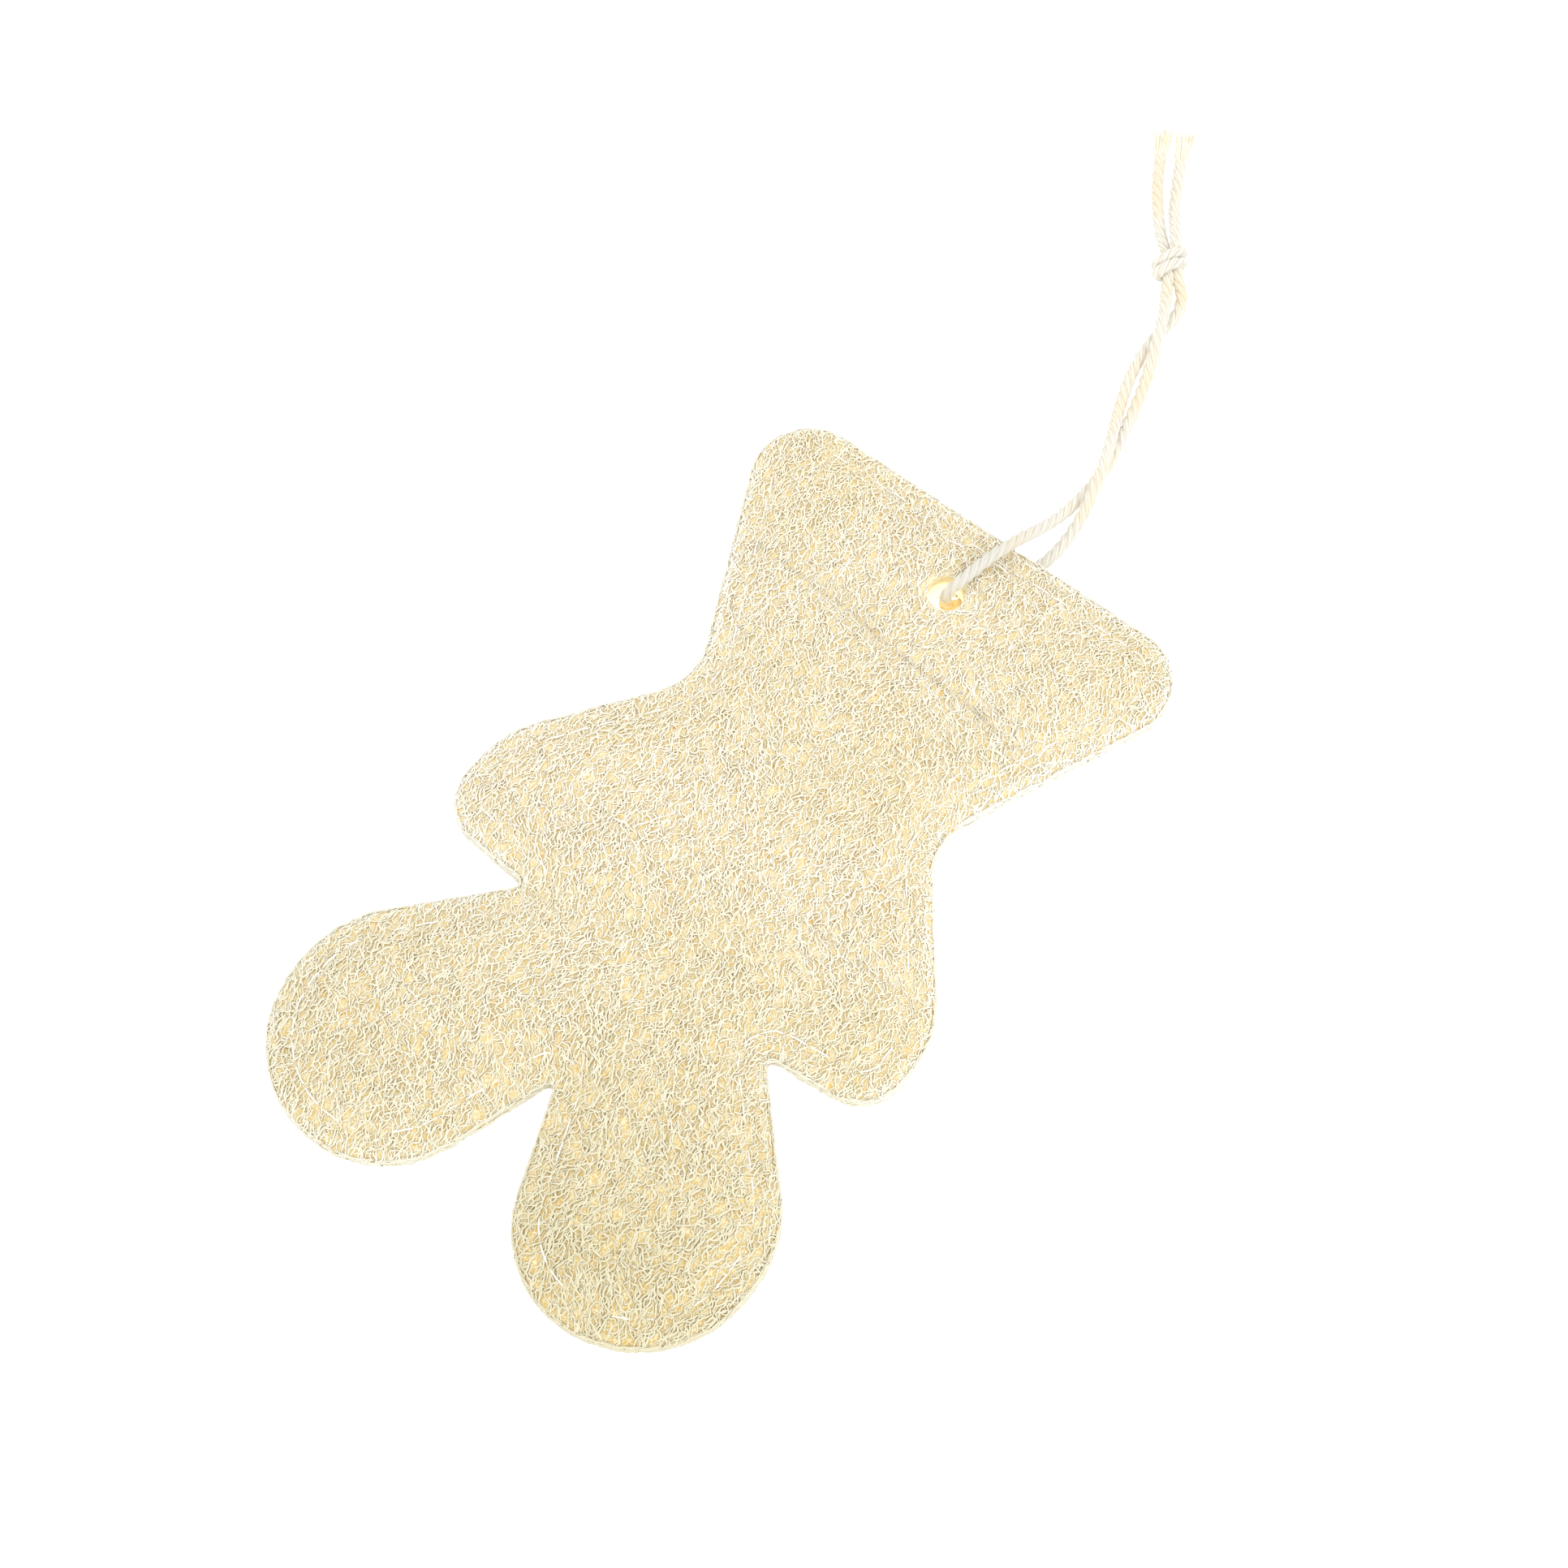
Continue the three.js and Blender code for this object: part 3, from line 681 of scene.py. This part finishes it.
# the knot: two rope turns that slant over the strands, each a shift, a slant, a width and a height
knot = {
    "centre": (-6.2, 134.0, 2.75),
    "turn": 0.585,
    "turns": [(-1.55, 0.62, 2.0, 2.1), (0.45, 0.66, 2.1, 2.1)],
    "angles": (-0.6, 2 * np.pi - 0.2),
    "steps": 90,
    "flat": 0.78,
    "climb": 0.12,
    "plyRadius": 0.58,
    "plyOffset": 0.44,
    "pitch": 5.0,
}


def knotFrame(across, along, up):
    # knot axes to the pad's: along runs from the strands to the tails
    cosTurn, sinTurn = np.cos(knot["turn"]), np.sin(knot["turn"])
    x = across * cosTurn - along * sinTurn + knot["centre"][0]
    y = across * sinTurn + along * cosTurn + knot["centre"][1]
    return np.stack([x, y, up + knot["centre"][2]], axis=-1)


def makeKnot():
    # each turn is an oval round the strands, sheared along the knot, not quite closed
    parts = []
    angle = np.linspace(*knot["angles"], knot["steps"])
    for shift, slant, wide, high in knot["turns"]:
        across, up = wide * np.cos(angle), high * np.sin(angle) * knot["flat"]
        along = shift + slant * across + knot["climb"] * angle
        path = knotFrame(across, along, up)
        parts.append(rope(path, knot["plyRadius"], knot["plyOffset"], knot["pitch"]))
    starts = np.cumsum([0] + [len(part[0]) for part in parts])
    faces = [np.concatenate([part[1][k] + start for part, start in zip(parts, starts)]) for k in range(2)]
    points, inner, uv = (np.concatenate([part[k] for part in parts]) for k in (0, 2, 3))
    return addMesh("knot_turns", points, faces, cottonFinish, {"inner": inner}, uv)


knotTurns = makeKnot()
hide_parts("cord_knot")

# the frayed ends: loose yarns that spread from each tail
fray = {
    "yarns": 44,
    "long": 7.2,
    "shortest": 0.7,  # share of the longest
    "tuck": 1.2,  # how far back in the tail a yarn starts
    "core": 0.85,
    "spread": 1.8,
    "spreadPower": 1.4,
    "flatten": 0.6,
    "sideWobble": 0.06,
    "upWobble": 0.04,
    "radius": 0.17,
    "thin": 0.55,
    "floor": 0.16,
    "steps": 10,
    "sides": 4,
}


def makeFray(name, path, seed):
    # a yarn starts in the tail's round end and leans out and droops, each by its own draw
    draw = np.random.default_rng(seed)
    end, heading = path[-1], unit(path[-1] - path[-6])
    up = np.array([0.0, 0.0, 1.0])
    across = unit(np.cross(heading, up))
    column = (fray["yarns"], 1)
    s = np.linspace(0, 1, fray["steps"])[None, :]
    angle = draw.uniform(0, wave, column)
    ring = np.sqrt(draw.uniform(0, 1, column))
    reach = draw.uniform(fray["shortest"], 1.0, column) * fray["long"]
    out = fray["spread"] * s ** fray["spreadPower"] * draw.uniform(0.3, 1.0, column)
    side = np.cos(angle) * ring * (fray["core"] + out)
    side = side + fray["sideWobble"] * np.sin(s * draw.uniform(3, 9, column) + angle) * s
    lift = np.sin(angle) * ring * (fray["core"] - fray["flatten"] * s)
    lift = lift + fray["upWobble"] * np.sin(s * 5 + 2 * angle) * s
    paths = end + (s * reach - fray["tuck"])[..., None] * heading
    paths = paths + side[..., None] * across + lift[..., None] * up
    paths[..., 2] = np.maximum(paths[..., 2], fray["floor"])
    radii = fray["radius"] * (1 - fray["thin"] * s ** 3) * np.ones_like(angle)
    points, faces = tubes(paths, radii, fray["sides"])
    tone = np.repeat(draw.uniform(0, 1, fray["yarns"]), fray["steps"] * fray["sides"])
    return addMesh(name, points, faces, frayFinish, {"tone": tone})


frayLeft = makeFray("fray_left", upperPath, 11)
frayRight = makeFray("fray_right", lowerPath, 12)
print("knot and frayed ends")

# the raised net: wavy fibres in layers, which face up on the front and down on the back
netLayers = {
    "loofah_net_deep": {
        "facing": 1, "count": 5000, "sink": (0.2, 0.34), "long": (3.0, 5.0), "radius": (0.12, 0.17), "seed": 31},
    "loofah_net_middle": {
        "facing": 1, "count": 5000, "sink": (0.12, 0.26), "long": (2.8, 4.8), "radius": (0.11, 0.16), "seed": 32},
    "loofah_net_top": {
        "facing": 1, "count": 5000, "sink": (0.02, 0.18), "long": (2.6, 4.4), "radius": (0.1, 0.15), "seed": 33},
    "loofah_net_back": {
        "facing": -1, "count": 4800, "sink": (0.0, 0.3), "long": (3.0, 5.2), "radius": (0.13, 0.19), "seed": 41},
}
net = {
    "steps": 7,
    "sides": 3,
    "section": (1.35, 0.9),
    "spares": 4,  # places tried for each fibre, because some lie off the pad
    "even": (0.7548776662, 0.5698402910),  # two fixed steps spread the places evenly
    "seedStride": 977,
    "field": (92, 148),
    "jitter": 0.25,
    "lean": 0.27,
    "swirl": 0.25,
    "swirlSize": 26.0,
    "swirlSeed": 5,
    "scatter": 0.38,
    "sway": 0.65,
    "swayLong": (3.0, 5.5),
    "fineSway": 0.55,
    "fineLong": (1.9, 2.8),
    "ripple": 0.1,
    "rippleLong": (1.8, 3.4),
    "dive": 0.22,
    "thinEnds": 0.45,
    "edgeClear": -0.05,
    "wrap": 0.6,
    "holeClear": 0.1,
    "holeSeedClear": 0.2,
    "longestJump": 2.5,  # in steps
    "frontClear": 0.15,  # from the height where the sheets meet
    "backClear": 0.3,
    "rootDepth": 0.32,
    "paleEdge": (0.2, 2.4),
    "paleLift": 0.3,
    "thinOut": 0.25,
    "thicken": 0.2,
}


def looseness(x, y):
    # 0 on the body and up to 1 at the feet, less on the left
    down = np.clip((legs["from"] - y) / legs["looseOver"], 0, 1)
    right = np.clip((x - legs["leftEnd"]) / legs["across"], 0, 1)
    return down * (legs["leftLoose"] + (1 - legs["leftLoose"]) * right)


def keepInside(x, y):
    # points past the edge are drawn back to it, twice because the edge bends
    for _ in range(2):
        inset = insetAt(x, y)
        slopeX, slopeY = edgeSlope(x, y)
        size = np.maximum(np.hypot(slopeX, slopeY), tiny)
        push = np.maximum(net["edgeClear"] - inset, 0)
        x = x + push * slopeX / size
        y = y + push * slopeY / size
    return x, y


def waves(draw, s, lengths):
    # a sine along each fibre, its length and its start by a draw
    column = (len(s), 1)
    return np.sin(s * wave / draw.uniform(*lengths, column) + draw.uniform(0, wave, column))


def fibrePaths(layer):
    # a fibre is a heading that sways along its length, summed to a path, which dives at both ends
    draw = np.random.default_rng(layer["seed"])
    index = np.arange(net["spares"] * layer["count"]) + net["seedStride"] * layer["seed"]
    x, y = ((index * even % 1 - 0.5) * wide + draw.normal(0, net["jitter"], len(index))
            for even, wide in zip(net["even"], net["field"]))
    holeX, holeY, holeRadius = pad["hole"]
    offHole = np.hypot(x - holeX, y - holeY) > holeRadius + net["holeSeedClear"]
    keep = (insetAt(x, y) > net["edgeClear"]) & offHole
    x, y = x[keep][:layer["count"]], y[keep][:layer["count"]]
    count = len(x)
    column = (count, 1)
    long = draw.uniform(*layer["long"], column)
    s = (np.linspace(-0.5, 0.5, net["steps"])[None, :]) * long
    swirl = net["swirl"] * softNoise(x, y, net["swirlSize"], net["swirlSeed"])
    heading = np.pi / 2 + net["lean"] + swirl + draw.normal(0, net["scatter"], count)
    sway = net["sway"] * waves(draw, s, net["swayLong"])
    fine = net["fineSway"] * waves(draw, s, net["fineLong"])
    angle = heading[:, None] + sway + fine
    step = long / (net["steps"] - 1)
    pathX = np.cumsum(np.cos(angle) * step, axis=1)
    pathY = np.cumsum(np.sin(angle) * step, axis=1)
    pathX = pathX - pathX.mean(1)[:, None] + x[:, None]
    pathY = pathY - pathY.mean(1)[:, None] + y[:, None]
    over = np.clip(net["edgeClear"] - insetAt(pathX, pathY), 0, net["wrap"])  # bent down over the cut edge
    pathX, pathY = keepInside(pathX, pathY)
    away = np.maximum(np.hypot(pathX - holeX, pathY - holeY), tiny)
    grow = np.maximum(holeRadius + net["holeClear"] - away, 0) / away
    pathX, pathY = pathX + (pathX - holeX) * grow, pathY + (pathY - holeY) * grow
    jump = np.hypot(np.diff(pathX, axis=1), np.diff(pathY, axis=1))
    whole = (jump < net["longestJump"] * step).all(axis=1)  # none bridges a notch or the hole
    fromMiddle = np.abs(2 * s / long)
    low = draw.uniform(*layer["sink"], column)
    ripple = net["ripple"] * waves(draw, s, net["rippleLong"])
    sink = low + ripple + net["dive"] * fromMiddle ** 3 * draw.uniform(0.3, 1.0, column)
    radii = draw.uniform(*layer["radius"], column) * (1 - net["thinEnds"] * fromMiddle ** 4)
    if layer["facing"] > 0:
        loose = looseness(x, y)  # thinned out and thicker towards the feet
        whole &= draw.uniform(0, 1, count) > net["thinOut"] * loose
        radii = radii * (1 + net["thicken"] * loose[:, None])
        z = np.maximum(frontTop(pathX, pathY) - sink - over, pad["seam"] + net["frontClear"])
    else:
        z = backTop(pathX, pathY) + np.maximum(sink, 0) + radii
        z = np.minimum(z, pad["seam"] - net["backClear"])
    tone = np.repeat(draw.uniform(0, 1, column), net["steps"], axis=1)
    # painted highlight: along the cut edge the fibres are paler and less golden
    paintedShading = 1 - smoothStep(insetAt(pathX, pathY), *net["paleEdge"])  # paler along the cut edge
    paths = np.stack([pathX, pathY, z], axis=-1)
    lifted = sink - net["paleLift"] * paintedShading
    return paths[whole], radii[whole], lifted[whole], np.maximum(tone, paintedShading)[whole]


def makeNet(name, layer):
    # a flat oval tube on each path, whose roots count as deeper than its outer side, so that painted shade makes
    # its lower sides golden
    paths, radii, sink, tone = fibrePaths(layer)
    points, faces = tubes(paths, radii, net["sides"], section=net["section"])
    root = net["rootDepth"] * (np.arange(net["sides"]) > 0)  # the first corner of a ring is its top
    deep = sink[..., None] + (root if layer["facing"] > 0 else net["rootDepth"] - root)
    values = {"sink": deep, "tone": np.repeat(tone.ravel(), net["sides"])}
    return addMesh(name, points, faces, fibreFinish, values)


# the golden bed of each sheet, under its net
bed = {
    "drawIn": 0.15,
    "drawReach": (0.2, 1.2),
    "frontSink": 0.32,
    "frontFrom": 3.7,  # the front face lies above this, and the back face below the other
    "frontSeam": 3.46,
    "backSink": 0.34,
    "backFrom": 2.5,
    "backSeam": 3.44,
    "relief": 0.1,  # share of the solid's own relief that is kept
    "reliefMost": 2,
    "weldDigits": 4,
    "sharpFrom": 0.9,
}


def quartered(points, faces):
    # every triangle cut in four at the middles of its sides
    sides = np.sort(np.stack([faces, np.roll(faces, -1, axis=1)], axis=-1).reshape(-1, 2), axis=1)
    pairs, number = np.unique(sides, axis=0, return_inverse=True)
    middle = len(points) + number.reshape(-1, 3)
    corners = np.stack([faces, middle, np.roll(middle, 1, axis=1)], axis=-1).reshape(-1, 3)
    return np.concatenate([points, points[pairs].mean(axis=1)]), np.concatenate([corners, middle])


def drawIn(points):
    # the rim, drawn in a little so that the fibres on it stand proud
    x, y = points[:, 0], points[:, 1]
    push = bed["drawIn"] * (1 - smoothStep(insetAt(x, y), *bed["drawReach"]))
    return points[:, :2] + push[:, None] * unit(np.stack(edgeSlope(x, y), axis=1))


def sinkFront(points):
    # the top face keeps a little of its relief, just under the net
    top, z = frontTop(points[:, 0], points[:, 1]), points[:, 2]
    sunk = top - bed["frontSink"] - bed["relief"] * np.clip(top - z, 0, bed["reliefMost"])
    low = np.where(z > bed["frontFrom"], sunk, z)
    return np.concatenate([drawIn(points), np.maximum(low, bed["frontSeam"])[:, None]], axis=1)


def sinkBack(points):
    # the underside likewise
    top, z = backTop(points[:, 0], points[:, 1]), points[:, 2]
    sunk = top + bed["backSink"] + bed["relief"] * np.clip(z - top, 0, bed["reliefMost"])
    high = np.where(z < bed["backFrom"], sunk, z)
    return np.concatenate([drawIn(points), np.minimum(high, bed["backSeam"])[:, None]], axis=1)


def makeBed(name, node, shift):
    # the sheet's own solid, drawn back from its outer face so that the net stands proud of it
    source = bpy.data.objects[node].data
    source.calc_loop_triangles()
    corners = np.zeros(3 * len(source.vertices))
    source.vertices.foreach_get("co", corners)
    faces = np.zeros(3 * len(source.loop_triangles), dtype=np.int32)
    source.loop_triangles.foreach_get("vertices", faces)
    corners = corners.reshape(-1, 3) / mm
    welded, number = np.unique(np.round(corners, bed["weldDigits"]), axis=0, return_inverse=True)
    points, faces = quartered(welded, number.reshape(-1)[faces].reshape(-1, 3))
    mesh = bpy.data.meshes.new(name)
    mesh.from_pydata((shift(points) * mm).tolist(), [], faces.tolist())
    mesh.polygons.foreach_set("use_smooth", np.ones(len(mesh.polygons), dtype=bool))
    mesh.set_sharp_from_angle(angle=bed["sharpFrom"])
    piece = putDown(name, mesh, bedFinish)
    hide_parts(node)
    return piece


makeBed("loofah_bed_front", "front_sheet", sinkFront)
makeBed("loofah_bed_back", "back_sheet", sinkBack)
for layerName, layerSettings in netLayers.items():
    makeNet(layerName, layerSettings)
print("beds and net of fibres")

# the cut rim: fibres that run along the wall in two bands, with the join of the sheets between them
rim = {
    "count": 2500,
    "long": (2.5, 6.0),
    "radius": (0.13, 0.2),
    "steps": 6,
    "seed": 51,
    "proud": (-0.25, 0.08),
    "tuckEnds": 0.25,
    "thinEnds": 0.4,
    "slope": 0.45,
    "sway": 0.22,
    "swayLong": (1.8, 3.6),
    "heights": (1.5, 3.9),
    "join": (3.2, 3.7),
    "clear": (3.15, 3.75),
    "sinkShare": 0.3,
    "sinkMost": 0.2,
}


def makeRim():
    # a fibre slides along the edge loop and up or down the wall, with a sway
    draw = np.random.default_rng(rim["seed"])
    column = (rim["count"], 1)
    long = draw.uniform(*rim["long"], column)
    s = np.linspace(-0.5, 0.5, rim["steps"])[None, :] * long
    slope = draw.normal(0, rim["slope"], column)
    at = draw.uniform(0, edgeLength, column) + s * np.cos(slope)
    share = (at / edgeLength * len(edgeLoop)) % len(edgeLoop)
    low = share.astype(int) % len(edgeLoop)
    high = (low + 1) % len(edgeLoop)
    part = (share - np.floor(share))[..., None]
    place = edgeLoop[low] * (1 - part) + edgeLoop[high] * part
    runs = unit(np.roll(edgeLoop, -2, axis=0) - np.roll(edgeLoop, 2, axis=0))
    outward = np.stack([-runs[:, 1], runs[:, 0]], axis=1)[low]
    sway = rim["sway"] * waves(draw, s, rim["swayLong"])
    height = draw.uniform(*rim["heights"], column) + s * np.sin(slope) + sway
    onJoin = (height > rim["join"][0]) & (height < rim["join"][1])
    height = np.where(onJoin, np.where(height < pad["seam"], *rim["clear"]), height)
    height = np.clip(height, *rim["heights"])
    fromMiddle = np.abs(2 * s / long)
    proud = draw.uniform(*rim["proud"], column) - rim["tuckEnds"] * fromMiddle ** 3
    flat = place + outward * proud[..., None]
    paths = np.concatenate([flat, height[..., None]], axis=-1)
    radii = draw.uniform(*rim["radius"], column) * (1 - rim["thinEnds"] * fromMiddle ** 4)
    points, faces = tubes(paths, radii, net["sides"])
    # painted shade: a fibre tucked into the wall is more golden
    sink = np.clip(-rim["sinkShare"] * proud, 0, rim["sinkMost"])
    tone = np.repeat(draw.uniform(0, 1, column), rim["steps"], axis=1)
    values = {"sink": np.repeat(sink.ravel(), net["sides"]), "tone": np.repeat(tone.ravel(), net["sides"])}
    return addMesh("loofah_rim", points, faces, fibreFinish, values)


makeRim()
print("rim")

# the seam: separate stitches on each face, doubled at the top where it starts and ends
seam = {
    "pitch": 4.0,
    "long": 3.2,
    "radius": 0.14,
    "steps": 9,
    "sides": 6,
    "seed": 61,
    "topShift": 1.9,  # the row lies nearer to the top edge over this stretch
    "topFrom": (-30.0, -24.0),
    "topTo": (9.0, 14.0),
    "topAbove": 55,
    "wander": 0.35,
    "wanderSize": 19.0,
    "wanderSeed": 8,
    "wanderOver": 60,
    "slip": (0.02, 0.14),
    "arch": 0.4,
    "archFoot": 0.24,
    "sunk": (-0.75, -0.04),
    "frontLift": 0.14,
    "backLift": 0.05,
    "floor": 0.02,
    "endStep": 0.05,
    "secondRow": [(-5.4, 66.2), (-1.2, 67.0), (4.9, 67.6), (10.0, 67.9), (15.0, 68.4)],
    "looseEnds": [
        [(-10.2, 69.5, 6.0), (-10.1, 68.4, 7.0), (-9.8, 67.4, 7.4), (-9.6, 66.4, 7.3)],
        [(-8.8, 68.8, 6.3), (-8.3, 68.1, 6.9), (-7.6, 67.5, 7.1), (-7.2, 67.0, 7.0)],
    ],
}


def seamLoop():
    # the outline drawn in by the seam's inset, with a slow wander, and shifted along the top
    loop = outline(pad["stitchInset"])
    x, y = loop.T
    onTop = smoothStep(x, *seam["topFrom"]) * (1 - smoothStep(x, *seam["topTo"])) * (y > seam["topAbove"])
    wander = seam["wander"] * softNoise(x, y, seam["wanderSize"], seam["wanderSeed"])
    return np.stack([x * (1 + wander / seam["wanderOver"]), y + seam["topShift"] * onTop], axis=1)


def stitchesAlong(points, closed, draw, facing):
    # a stitch follows the row and arches up between its two needle holes, some of them sunk in the net
    ring = np.concatenate([points, points[:1]]) if closed else points
    along = runningLength(ring)
    count = int(along[-1] / seam["pitch"])
    column = (count, 1)
    s = np.linspace(0, 1, seam["steps"])[None, :]
    start = (np.arange(count)[:, None] + draw.uniform(*seam["slip"], column)) * along[-1] / count
    at = start + s * seam["long"]
    x, y = (np.interp(at % along[-1], along, ring[:, k]) for k in range(2))
    arch = seam["arch"] * np.sin(np.pi * s) - seam["archFoot"] + draw.uniform(*seam["sunk"], column)
    if facing > 0:
        z = frontTop(x, y) + arch + seam["frontLift"]
    else:
        z = np.maximum(backTop(x, y) - arch - seam["backLift"], seam["radius"] + seam["floor"])
    return np.stack([x, y, z], axis=-1), at


def makeSeam(name, node, facing):
    # a round tube on each stitch; the front also has the second row and the loose ends
    draw = np.random.default_rng(seam["seed"] + facing)
    paths, at = stitchesAlong(seamLoop(), True, draw, facing)
    if facing > 0:
        second, secondAt = stitchesAlong(np.array(seam["secondRow"]), False, draw, facing)
        paths, at = np.concatenate([paths, second]), np.concatenate([at, secondAt])
        for end in seam["looseEnds"]:
            curve = smoothPath(np.array(end), seam["endStep"])[0]
            pick = np.linspace(0, len(curve) - 1, seam["steps"]).astype(int)
            paths = np.concatenate([paths, curve[None, pick]])
            at = np.concatenate([at, (pick * seam["endStep"])[None, :]])
    points, faces = tubes(paths, np.full(paths.shape[:2], seam["radius"]), seam["sides"])
    around = np.tile(np.arange(seam["sides"]) / seam["sides"], paths.shape[0] * seam["steps"])
    uv = np.stack([around, np.repeat(at.ravel() * mm, seam["sides"])], axis=1)
    piece = addMesh(name, points, faces, threadFinish, None, uv)
    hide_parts(node)
    return piece


makeSeam("seam_front", "needle_thread", 1)
makeSeam("seam_back", "bobbin_thread", -1)
print("seam")

# floor and soft studio light
light = {
    "key": {"from": (0.95, -0.15, 0.85), "size": 0.5, "power": 3.3},
    "fill": {"from": (-0.7, -0.55, 0.9), "size": 1.2, "power": 1.6},
    "sky": 1.22,
    "bounces": 10,
}
floorLook = {"reach": 3, "grainScale": 30.0, "low": tint(140, 140, 140), "high": tint(144, 144, 144)}


def floorMaterial():
    # a plain white sweep that glows a little, so that it stays white under the pad
    material, place = startMaterial("floor_white")
    colour = place.mix(noise(place, floorLook["grainScale"]), floorLook["low"], floorLook["high"])
    finishMaterial(place, colour, 0.9, Emission_Color=(1.0, 1.0, 1.0, 1.0), Emission_Strength=0.9,
                   Specular_IOR_Level=0.0)
    return material


floorMesh = bpy.data.meshes.new("floor")
floorReach = floorLook["reach"]
floorCorners = [(x * floorReach, y * floorReach, 0) for x, y in ((-1, -1), (1, -1), (1, 1), (-1, 1))]
floorMesh.from_pydata(floorCorners, [], [(0, 1, 2, 3)])
floorMesh.materials.append(floorMaterial())
floor = bpy.data.objects.new("floor", floorMesh)
bpy.context.scene.collection.objects.link(floor)
for lampName in ("key", "fill"):
    settings = light[lampName]
    lamp = bpy.data.lights.new(lampName, "AREA")
    lamp.energy = settings["power"]
    lamp.size = settings["size"]
    holder = bpy.data.objects.new(lampName, lamp)
    holder.location = settings["from"]
    holder.rotation_euler = (-Vector(settings["from"])).to_track_quat("-Z", "Y").to_euler()
    bpy.context.scene.collection.objects.link(holder)
world = bpy.data.worlds.new("studio")
world.use_nodes = True
world.node_tree.nodes["Background"].inputs["Color"].default_value = (1.0, 1.0, 1.0, 1.0)
world.node_tree.nodes["Background"].inputs["Strength"].default_value = light["sky"]
bpy.context.scene.world = world
bpy.context.scene.view_settings.view_transform = "Standard"
bpy.context.scene.cycles.diffuse_bounces = light["bounces"]
print("floor and light")
